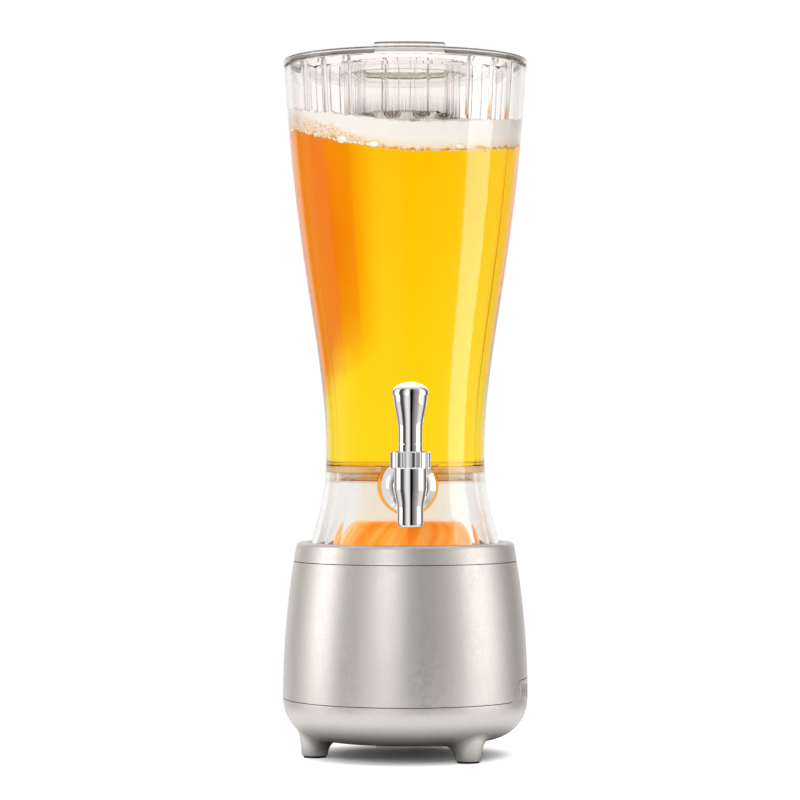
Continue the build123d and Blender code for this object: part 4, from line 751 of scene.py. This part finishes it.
def inner_wall():
    """Height and radius of the vessel's inner wall, from the plain back of the vessel itself."""
    rows = {}
    for vertex in nodes["vessel"].data.vertices:
        x, y, z = vertex.co
        radius = math.hypot(x, y)
        inward = -(vertex.normal.x * x + vertex.normal.y * y) / max(radius, 1e-9)
        if abs(x) < BACK_SHARE * y and radius > RING_OUT + EDGE_ROUND and inward > FACING_IN:
            key = round(z, 4)
            rows[key] = max(rows.get(key, 0.0), radius)
    spaced = []
    for z, radius in sorted(rows.items()):
        if not spaced or z - spaced[-1][0] > WALL_SPACING or z > MOUTH - MM:
            spaced.append((z, radius))
    return spaced


WALL = inner_wall()
WALL_HEIGHTS = [z for z, radius in WALL]


def wall_radius(z):
    """Radius of the inner wall at a height."""
    place = min(max(bisect.bisect(WALL_HEIGHTS, z), 1), len(WALL) - 1)
    (z0, r0), (z1, r1) = WALL[place - 1], WALL[place]
    return r0 + (r1 - r0) * min(max((z - z0) / (z1 - z0), 0.0), 1.0)


def spread(low, high, steps):
    """Evenly spaced values from low to high, both included."""
    return [low + (high - low) * k / steps for k in range(steps + 1)]


def bearing_of(x, y):
    """Degrees from the tap's side, towards the right."""
    return math.degrees(math.atan2(x, -y)) % 360


def lathe(name, outline, steps):
    """An outline of (radius, height), both ends on the axis or closed, spun round the upright axis."""
    bpy.ops.object.select_all(action="DESELECT")
    bpy.ops.mesh.primitive_plane_add(size=MM)
    piece = bpy.context.object
    piece.name = name
    bpy.ops.object.mode_set(mode="EDIT")
    bpy.ops.mesh.select_all(action="SELECT")
    bpy.ops.mesh.merge(type="CENTER")
    bpy.ops.transform.translate(value=(outline[0][0], 0, outline[0][1]))
    for (r0, z0), (r1, z1) in zip(outline, outline[1:]):
        bpy.ops.mesh.extrude_region_move(TRANSFORM_OT_translate={"value": (r1 - r0, 0, z1 - z0)})
    bpy.ops.mesh.select_all(action="SELECT")
    bpy.ops.mesh.spin(steps=steps, angle=TURN, center=(0, 0, 0), axis=(0, 0, 1))
    bpy.ops.mesh.select_all(action="SELECT")
    bpy.ops.mesh.remove_doubles(threshold=WELD)
    bpy.ops.mesh.normals_make_consistent(inside=False)
    bpy.ops.object.mode_set(mode="OBJECT")
    return piece


def join_solid(piece, other, operation):
    """Joins or cuts one closed piece with another, which is then removed."""
    bpy.ops.object.select_all(action="DESELECT")
    bpy.context.view_layer.objects.active = piece
    cut = piece.modifiers.new("join", "BOOLEAN")
    cut.operation = operation
    cut.solver = "EXACT"
    cut.object = other
    bpy.ops.object.modifier_apply(modifier=cut.name)
    bpy.data.objects.remove(other)


def smooth(piece, degrees):
    """Smooth shading, with creases sharper than the angle kept."""
    bpy.ops.object.select_all(action="DESELECT")
    piece.select_set(True)
    bpy.context.view_layer.objects.active = piece
    bpy.ops.object.shade_smooth_by_angle(angle=math.radians(degrees))


def rod(radius, near, far):
    """Round bar on the tap's shank line, from one distance in front of the axis to another."""
    bpy.ops.object.select_all(action="DESELECT")
    bpy.ops.mesh.primitive_cylinder_add(
        vertices=ROD_SIDES,
        radius=radius,
        depth=far - near,
        location=(0, -(near + far) / 2, SUMP_HIGH),
        rotation=(math.pi / 2, 0, 0),
    )
    bpy.ops.object.transform_apply(location=True, rotation=True)
    return bpy.context.object


def block(half_wide, near, far, low, high):
    """Box in front of the axis, from one distance and height to another."""
    bpy.ops.object.select_all(action="DESELECT")
    bpy.ops.mesh.primitive_cube_add(
        size=1,
        location=(0, -(near + far) / 2, (low + high) / 2),
        scale=(2 * half_wide, far - near, high - low),
    )
    bpy.ops.object.transform_apply(location=True, scale=True)
    return bpy.context.object


def hollow_outline(low, high, gap):
    """Outline of the space inside the wall: from the axis out over a rounded foot and up the wall."""
    corner = wall_radius(low + FLOOR_ROUND) - gap - FLOOR_ROUND
    foot = [
        (corner + FLOOR_ROUND * math.sin(turn), low + gap + FLOOR_ROUND * (1 - math.cos(turn)))
        for turn in spread(0, math.pi / 2, FOOT_STEPS)
    ]
    start = low + FLOOR_ROUND + 2 * OVERRUN
    side = [(wall_radius(z) - gap, z) for z in spread(start, high, INNER_STEPS)]
    return [(0.0, low + gap)] + foot + side


def mouth_ribs():
    """Twelve short upright ribs inside the mouth, for the lid's plug."""
    ribs = []
    for bearing in RIB_BEARINGS:
        bpy.ops.mesh.primitive_cube_add(size=2)
        rib = bpy.context.object
        turn = math.radians(bearing)
        out = Vector((math.sin(turn), -math.cos(turn), 0))
        side = Vector((math.cos(turn), math.sin(turn), 0))
        for vertex in rib.data.vertices:
            inner, across, upper = vertex.co.x < 0, vertex.co.y, vertex.co.z > 0
            z = MOUTH if upper else RIB_LOW
            radius = wall_radius(z) - RIB_TALL if inner else wall_radius(z) + RIB_BITE
            lift = 2 * RIB_TALL if inner and not upper else 0
            vertex.co = out * radius + side * across * RIB_WIDE / 2 + Vector((0, 0, z + lift))
        rounding = rib.modifiers.new("round", "BEVEL")
        rounding.width = RIB_WIDE / 3
        rounding.segments = 2
        bpy.ops.object.modifier_apply(modifier=rounding.name)
        ribs.append(rib)
    bpy.ops.object.select_all(action="DESELECT")
    for rib in ribs:
        rib.select_set(True)
    bpy.context.view_layer.objects.active = ribs[0]
    bpy.ops.object.join()
    return ribs[0]


def in_beer(x, y, z):
    """True for a point that the beer fills."""
    across = math.hypot(x, y)
    if z > FLOOR_TOP:
        return across < wall_radius(z) and z < beer_level(x, y, wall_radius(BEER_FRONT))
    ahead = -y
    if not SUMP_BACK + SUMP_WALL < ahead < TAP_SEAT - SEAT_WALL:
        return False
    in_slot = z > SUMP_HIGH and abs(x) < SUMP_IN and ahead < SUMP_SIDE - SUMP_WALL
    return in_slot or math.hypot(x, z - SUMP_HIGH) < SUMP_IN


def make_vessel():
    """Clear vessel: spun wall, floor and skirt, flat strips outside, mouth ribs, sump with the tap's seat."""
    inside = hollow_outline(FLOOR_TOP, MOUTH, 0.0)
    mouth_in = inside[-1][0]
    mouth_out = mouth_in + WALL_THICK
    lip = mouth_out - REBATE
    rim = [
        (mouth_in, RIM_TOP - EDGE_ROUND), (mouth_in + EDGE_ROUND, RIM_TOP), (lip - EDGE_ROUND, RIM_TOP),
        (lip, RIM_TOP - EDGE_ROUND), (lip, MOUTH), (mouth_out - EDGE_ROUND, MOUTH),
    ]
    outside = [
        (wall_radius(z) + WALL_THICK, z) for z in spread(MOUTH - EDGE_ROUND, SKIRT_STRAIGHT, OUTER_STEPS)
    ]
    skirt_in = wall_radius(SKIRT_BOTTOM)
    skirt_out = skirt_in + WALL_THICK
    foot = [
        (skirt_out, SKIRT_BOTTOM + EDGE_ROUND), (skirt_out - EDGE_ROUND, SKIRT_BOTTOM),
        (skirt_in + EDGE_ROUND, SKIRT_BOTTOM), (skirt_in, SKIRT_BOTTOM + EDGE_ROUND),
    ]
    under = [(wall_radius(z), z) for z in spread(SKIRT_STRAIGHT, FLOOR_UNDER, SKIRT_STEPS)]
    ring = [
        (RING_OUT, FLOOR_UNDER), (RING_OUT, RING_LOW + EDGE_ROUND), (RING_OUT - EDGE_ROUND, RING_LOW),
        (RING_IN + EDGE_ROUND, RING_LOW), (RING_IN, RING_LOW + EDGE_ROUND), (RING_IN, FLOOR_UNDER),
        (0.0, FLOOR_UNDER),
    ]
    vessel = lathe("vessel_wall", inside + rim + outside + foot + under + ring, VESSEL_STEPS)
    for vertex in vessel.data.vertices:
        x, y, z = vertex.co
        radius = math.hypot(x, y)
        if radius < wall_radius(z) + WALL_THICK / 2 or z > MOUTH:
            continue
        for middle in STRIP_BEARINGS:
            off = abs(bearing_of(x, y) - middle)
            if off < STRIP_HALF - STRIP_SLACK:
                grow = math.cos(math.radians(STRIP_HALF)) / math.cos(math.radians(off))
                grow = grow if y < 0 else 1 + (grow - 1) * BACK_STRIP_FLAT
                vertex.co = (x * grow, y * grow, z)
    sump = rod(SUMP_OUT, SUMP_BACK, TAP_SEAT)
    join_solid(sump, block(SUMP_OUT, SUMP_BACK, SUMP_SIDE, SUMP_HIGH, FLOOR_UNDER + 2 * OVERRUN), "UNION")
    join_solid(vessel, sump, "UNION")
    space_top = SUMP_HIGH + 2 * SUMP_OUT
    space = lathe("space", hollow_outline(FLOOR_TOP, space_top, 0.0) + [(0.0, space_top)], VESSEL_STEPS)
    join_solid(space, rod(SUMP_IN, SUMP_BACK + SUMP_WALL, TAP_SEAT - SEAT_WALL), "UNION")
    slot = block(SUMP_IN, SUMP_BACK + SUMP_WALL, SUMP_SIDE - SUMP_WALL, SUMP_HIGH, FLOOR_TOP + OVERRUN)
    join_solid(space, slot, "UNION")
    join_solid(space, rod(SHANK_HOLE, SUMP_SIDE, TAP_SEAT + OVERRUN), "UNION")
    join_solid(vessel, space, "DIFFERENCE")
    join_solid(vessel, mouth_ribs(), "UNION")
    strip_edges = {(middle + side) % 360 for middle in STRIP_BEARINGS for side in (-STRIP_HALF, STRIP_HALF)}
    points = vessel.data.vertices
    for edge in vessel.data.edges:
        ends = [points[i].co for i in edge.vertices]
        outer = all(math.hypot(c.x, c.y) > wall_radius(c.z) + WALL_THICK / 2 for c in ends)
        bearings = [bearing_of(c.x, c.y) for c in ends]
        if outer and all(any(abs(b - e) < STRIP_SLACK / 2 for e in strip_edges) for b in bearings):
            edge.use_edge_sharp = abs(ends[0].z - ends[1].z) > EDGE_ROUND and ends[0].y < 0
    vessel.data.materials.clear()
    vessel.data.materials.append(clear_styrene("vessel_styrene", vessel_tint_and_painted_light, 0.03, PLASTIC_IOR, 0.15))
    vessel.data.materials.append(clear_styrene("wet_styrene", "fcfaf8", 0.02, PLASTIC_IOR / BEER_IOR, 0.15))
    for face in vessel.data.polygons:
        face.material_index = int(in_beer(*(face.center + face.normal * WALL_BITE)))
    smooth(vessel, VESSEL_CREASE)
    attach(vessel, "vessel")
    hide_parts("vessel")
    # this lamp draws the bright stripe down the right of the vessel
    light_only(lamps["strip_box"], vessel)


# The drink

def beer_level(x, y, radius):
    """Height where beer meets foam."""
    side = BEER_LEFT_RISE * -x / radius if x < 0 else -BEER_RIGHT_DROP * (x / radius) ** 2
    return BEER_FRONT + side + BEER_BACK_RISE * (y / radius + 1) / 2


def make_beer():
    """Beer that fills the vessel and its sump up to the foam."""
    outline = hollow_outline(FLOOR_TOP, BEER_FRONT, BEER_GAP)
    rim = outline[-1][0]
    outline += [(rim * k / DISC_RINGS, BEER_FRONT) for k in range(DISC_RINGS - 1, -1, -1)]
    beer = lathe("beer", outline, BEER_STEPS)
    start = BEER_FRONT - BEER_STRETCH
    for vertex in beer.data.vertices:
        x, y, z = vertex.co
        if z > start:
            level = start + (beer_level(x, y, rim) - start) * (z - start) / BEER_STRETCH
            grow = (wall_radius(level) - BEER_GAP) / (wall_radius(z) - BEER_GAP)
            vertex.co = (x * grow, y * grow, level)
    near = SUMP_BACK + SUMP_WALL + BEER_GAP
    join_solid(beer, rod(SUMP_IN - BEER_GAP, near, TAP_SEAT - SEAT_WALL - BEER_GAP), "UNION")
    slot_far = SUMP_SIDE - SUMP_WALL - BEER_GAP
    join_solid(beer, block(SUMP_IN - BEER_GAP, near, slot_far, SUMP_HIGH, FLOOR_TOP + OVERRUN), "UNION")
    smooth(beer, BEER_CREASE)
    beer.data.materials.append(lager())
    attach(beer, "vessel")


def make_foam():
    """Foam ring and cap: it starts a little under the beer's top and clings to the wall."""
    rim = wall_radius(BEER_FRONT)
    outline = [(rim * k / DISC_RINGS, 0.0) for k in range(DISC_RINGS + 1)]
    outline += [(rim, k / FOAM_RINGS) for k in range(1, FOAM_RINGS + 1)]
    outline += [(rim * k / DISC_RINGS, 1.0) for k in range(DISC_RINGS - 1, -1, -1)]
    foam = lathe("foam", outline, FOAM_STEPS)
    level = foam.data.attributes.new("level", "FLOAT", "POINT")
    loose = foam.data.attributes.new("loose", "FLOAT", "POINT")
    dice = random.Random(4)
    waves = [
        (dice.randint(*FOAM_WAVE_CRESTS), dice.uniform(0, TURN), dice.uniform(*FOAM_WAVE_TALL))
        for _ in range(FOAM_WAVES)
    ]
    pitch = FOAM_LUMP_PITCH
    lumps = [
        (dice.uniform(-pitch, pitch), dice.uniform(-pitch, pitch), dice.uniform(0, TURN))
        for _ in range(FOAM_LUMPS)
    ]
    for index, vertex in enumerate(foam.data.vertices):
        x, y, share = vertex.co
        reach = math.hypot(x, y) / rim
        at_wall = reach > NEARLY
        near_wall = reach ** FOAM_WALL_POWER
        level.data[index].value = share if at_wall else max(share, FOAM_PAINTED_PALE)
        left = min(max(-x / rim - FOAM_LOOSE_FROM, 0.0), FOAM_LOOSE_MOST)
        loose.data[index].value = left
        turn = math.atan2(x, -y)
        low = beer_level(x, y, rim) - FOAM_BITE
        deep = FOAM_DEEP - FOAM_BACK_LOSS * (y / rim + 1) / 2
        if x > 0:
            deep += FOAM_RIGHT_GAIN * (x / rim) ** 2
        wave = sum(tall * math.sin(crests * turn + start) for crests, start, tall in waves)
        wave *= near_wall * (FOAM_WAVE_LEAST + left)
        lump = sum(math.sin(along * x + across * y + start) for along, across, start in lumps)
        lump *= FOAM_LUMP * share * (1 - near_wall)
        ragged = dice.uniform(-FOAM_RAGGED, FOAM_RAGGED) if share > NEARLY and at_wall else 0.0
        z = low + deep * share + wave + lump + ragged
        grow = (wall_radius(z) + WALL_BITE) / rim
        vertex.co = (x * grow, y * grow, z)
    smooth(foam, FOAM_CREASE)
    foam.data.materials.append(foam_white())
    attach(foam, "vessel")


def blob(across, up, wide, tall, faces):
    """One round bubble against the front of the wall, wider than tall where it is pressed flat."""
    radius = wall_radius(up)
    ahead = math.sqrt(radius ** 2 - across ** 2)
    bpy.ops.mesh.primitive_ico_sphere_add(subdivisions=faces, radius=1)
    bubble = bpy.context.object
    out = Vector((across, -ahead, 0)) / radius
    side = Vector((ahead, across, 0)) / radius
    deep = min(tall, BUBBLE_DEEP)
    for vertex in bubble.data.vertices:
        spot = vertex.co.copy()
        place = side * spot.x * wide / 2 + out * (spot.y * deep / 2 + radius + BUBBLE_BITE)
        vertex.co = place + Vector((0, 0, up + spot.z * tall / 2))
    return bubble


def make_bubbles():
    """Three big bubbles and a froth of small ones along the line between beer and foam."""
    rim = wall_radius(BEER_FRONT)
    bubbles = [blob(*big, BIG_BUBBLE_FACES) for big in BIG_BUBBLES]
    dice = random.Random(11)
    while len(bubbles) < SMALL_BUBBLES + len(BIG_BUBBLES):
        across = dice.uniform(-BUBBLE_REACH, BUBBLE_REACH) * rim
        at_left = across < BUBBLE_LEFT * rim
        if dice.random() > (1.0 if at_left else BUBBLE_CROWD):
            continue
        size = dice.uniform(BUBBLE_LEAST, BUBBLE_LEFT_MOST if at_left else BUBBLE_MOST)
        line = beer_level(across, -math.sqrt(rim ** 2 - across ** 2), rim)
        up = line + dice.uniform(*BUBBLE_LINE)
        bubbles.append(blob(across, up, size * BUBBLE_WIDEN, size, SMALL_BUBBLE_FACES))
    bpy.ops.object.select_all(action="DESELECT")
    for bubble in bubbles:
        bubble.select_set(True)
    bpy.context.view_layer.objects.active = bubbles[0]
    bpy.ops.object.join()
    bubbles[0].name = "foam_bubbles"
    smooth(bubbles[0], BUBBLE_CREASE)
    bubbles[0].data.materials.append(bubble_film_painted_light())
    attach(bubbles[0], "vessel")


make_vessel()
make_beer()
make_foam()
make_bubbles()
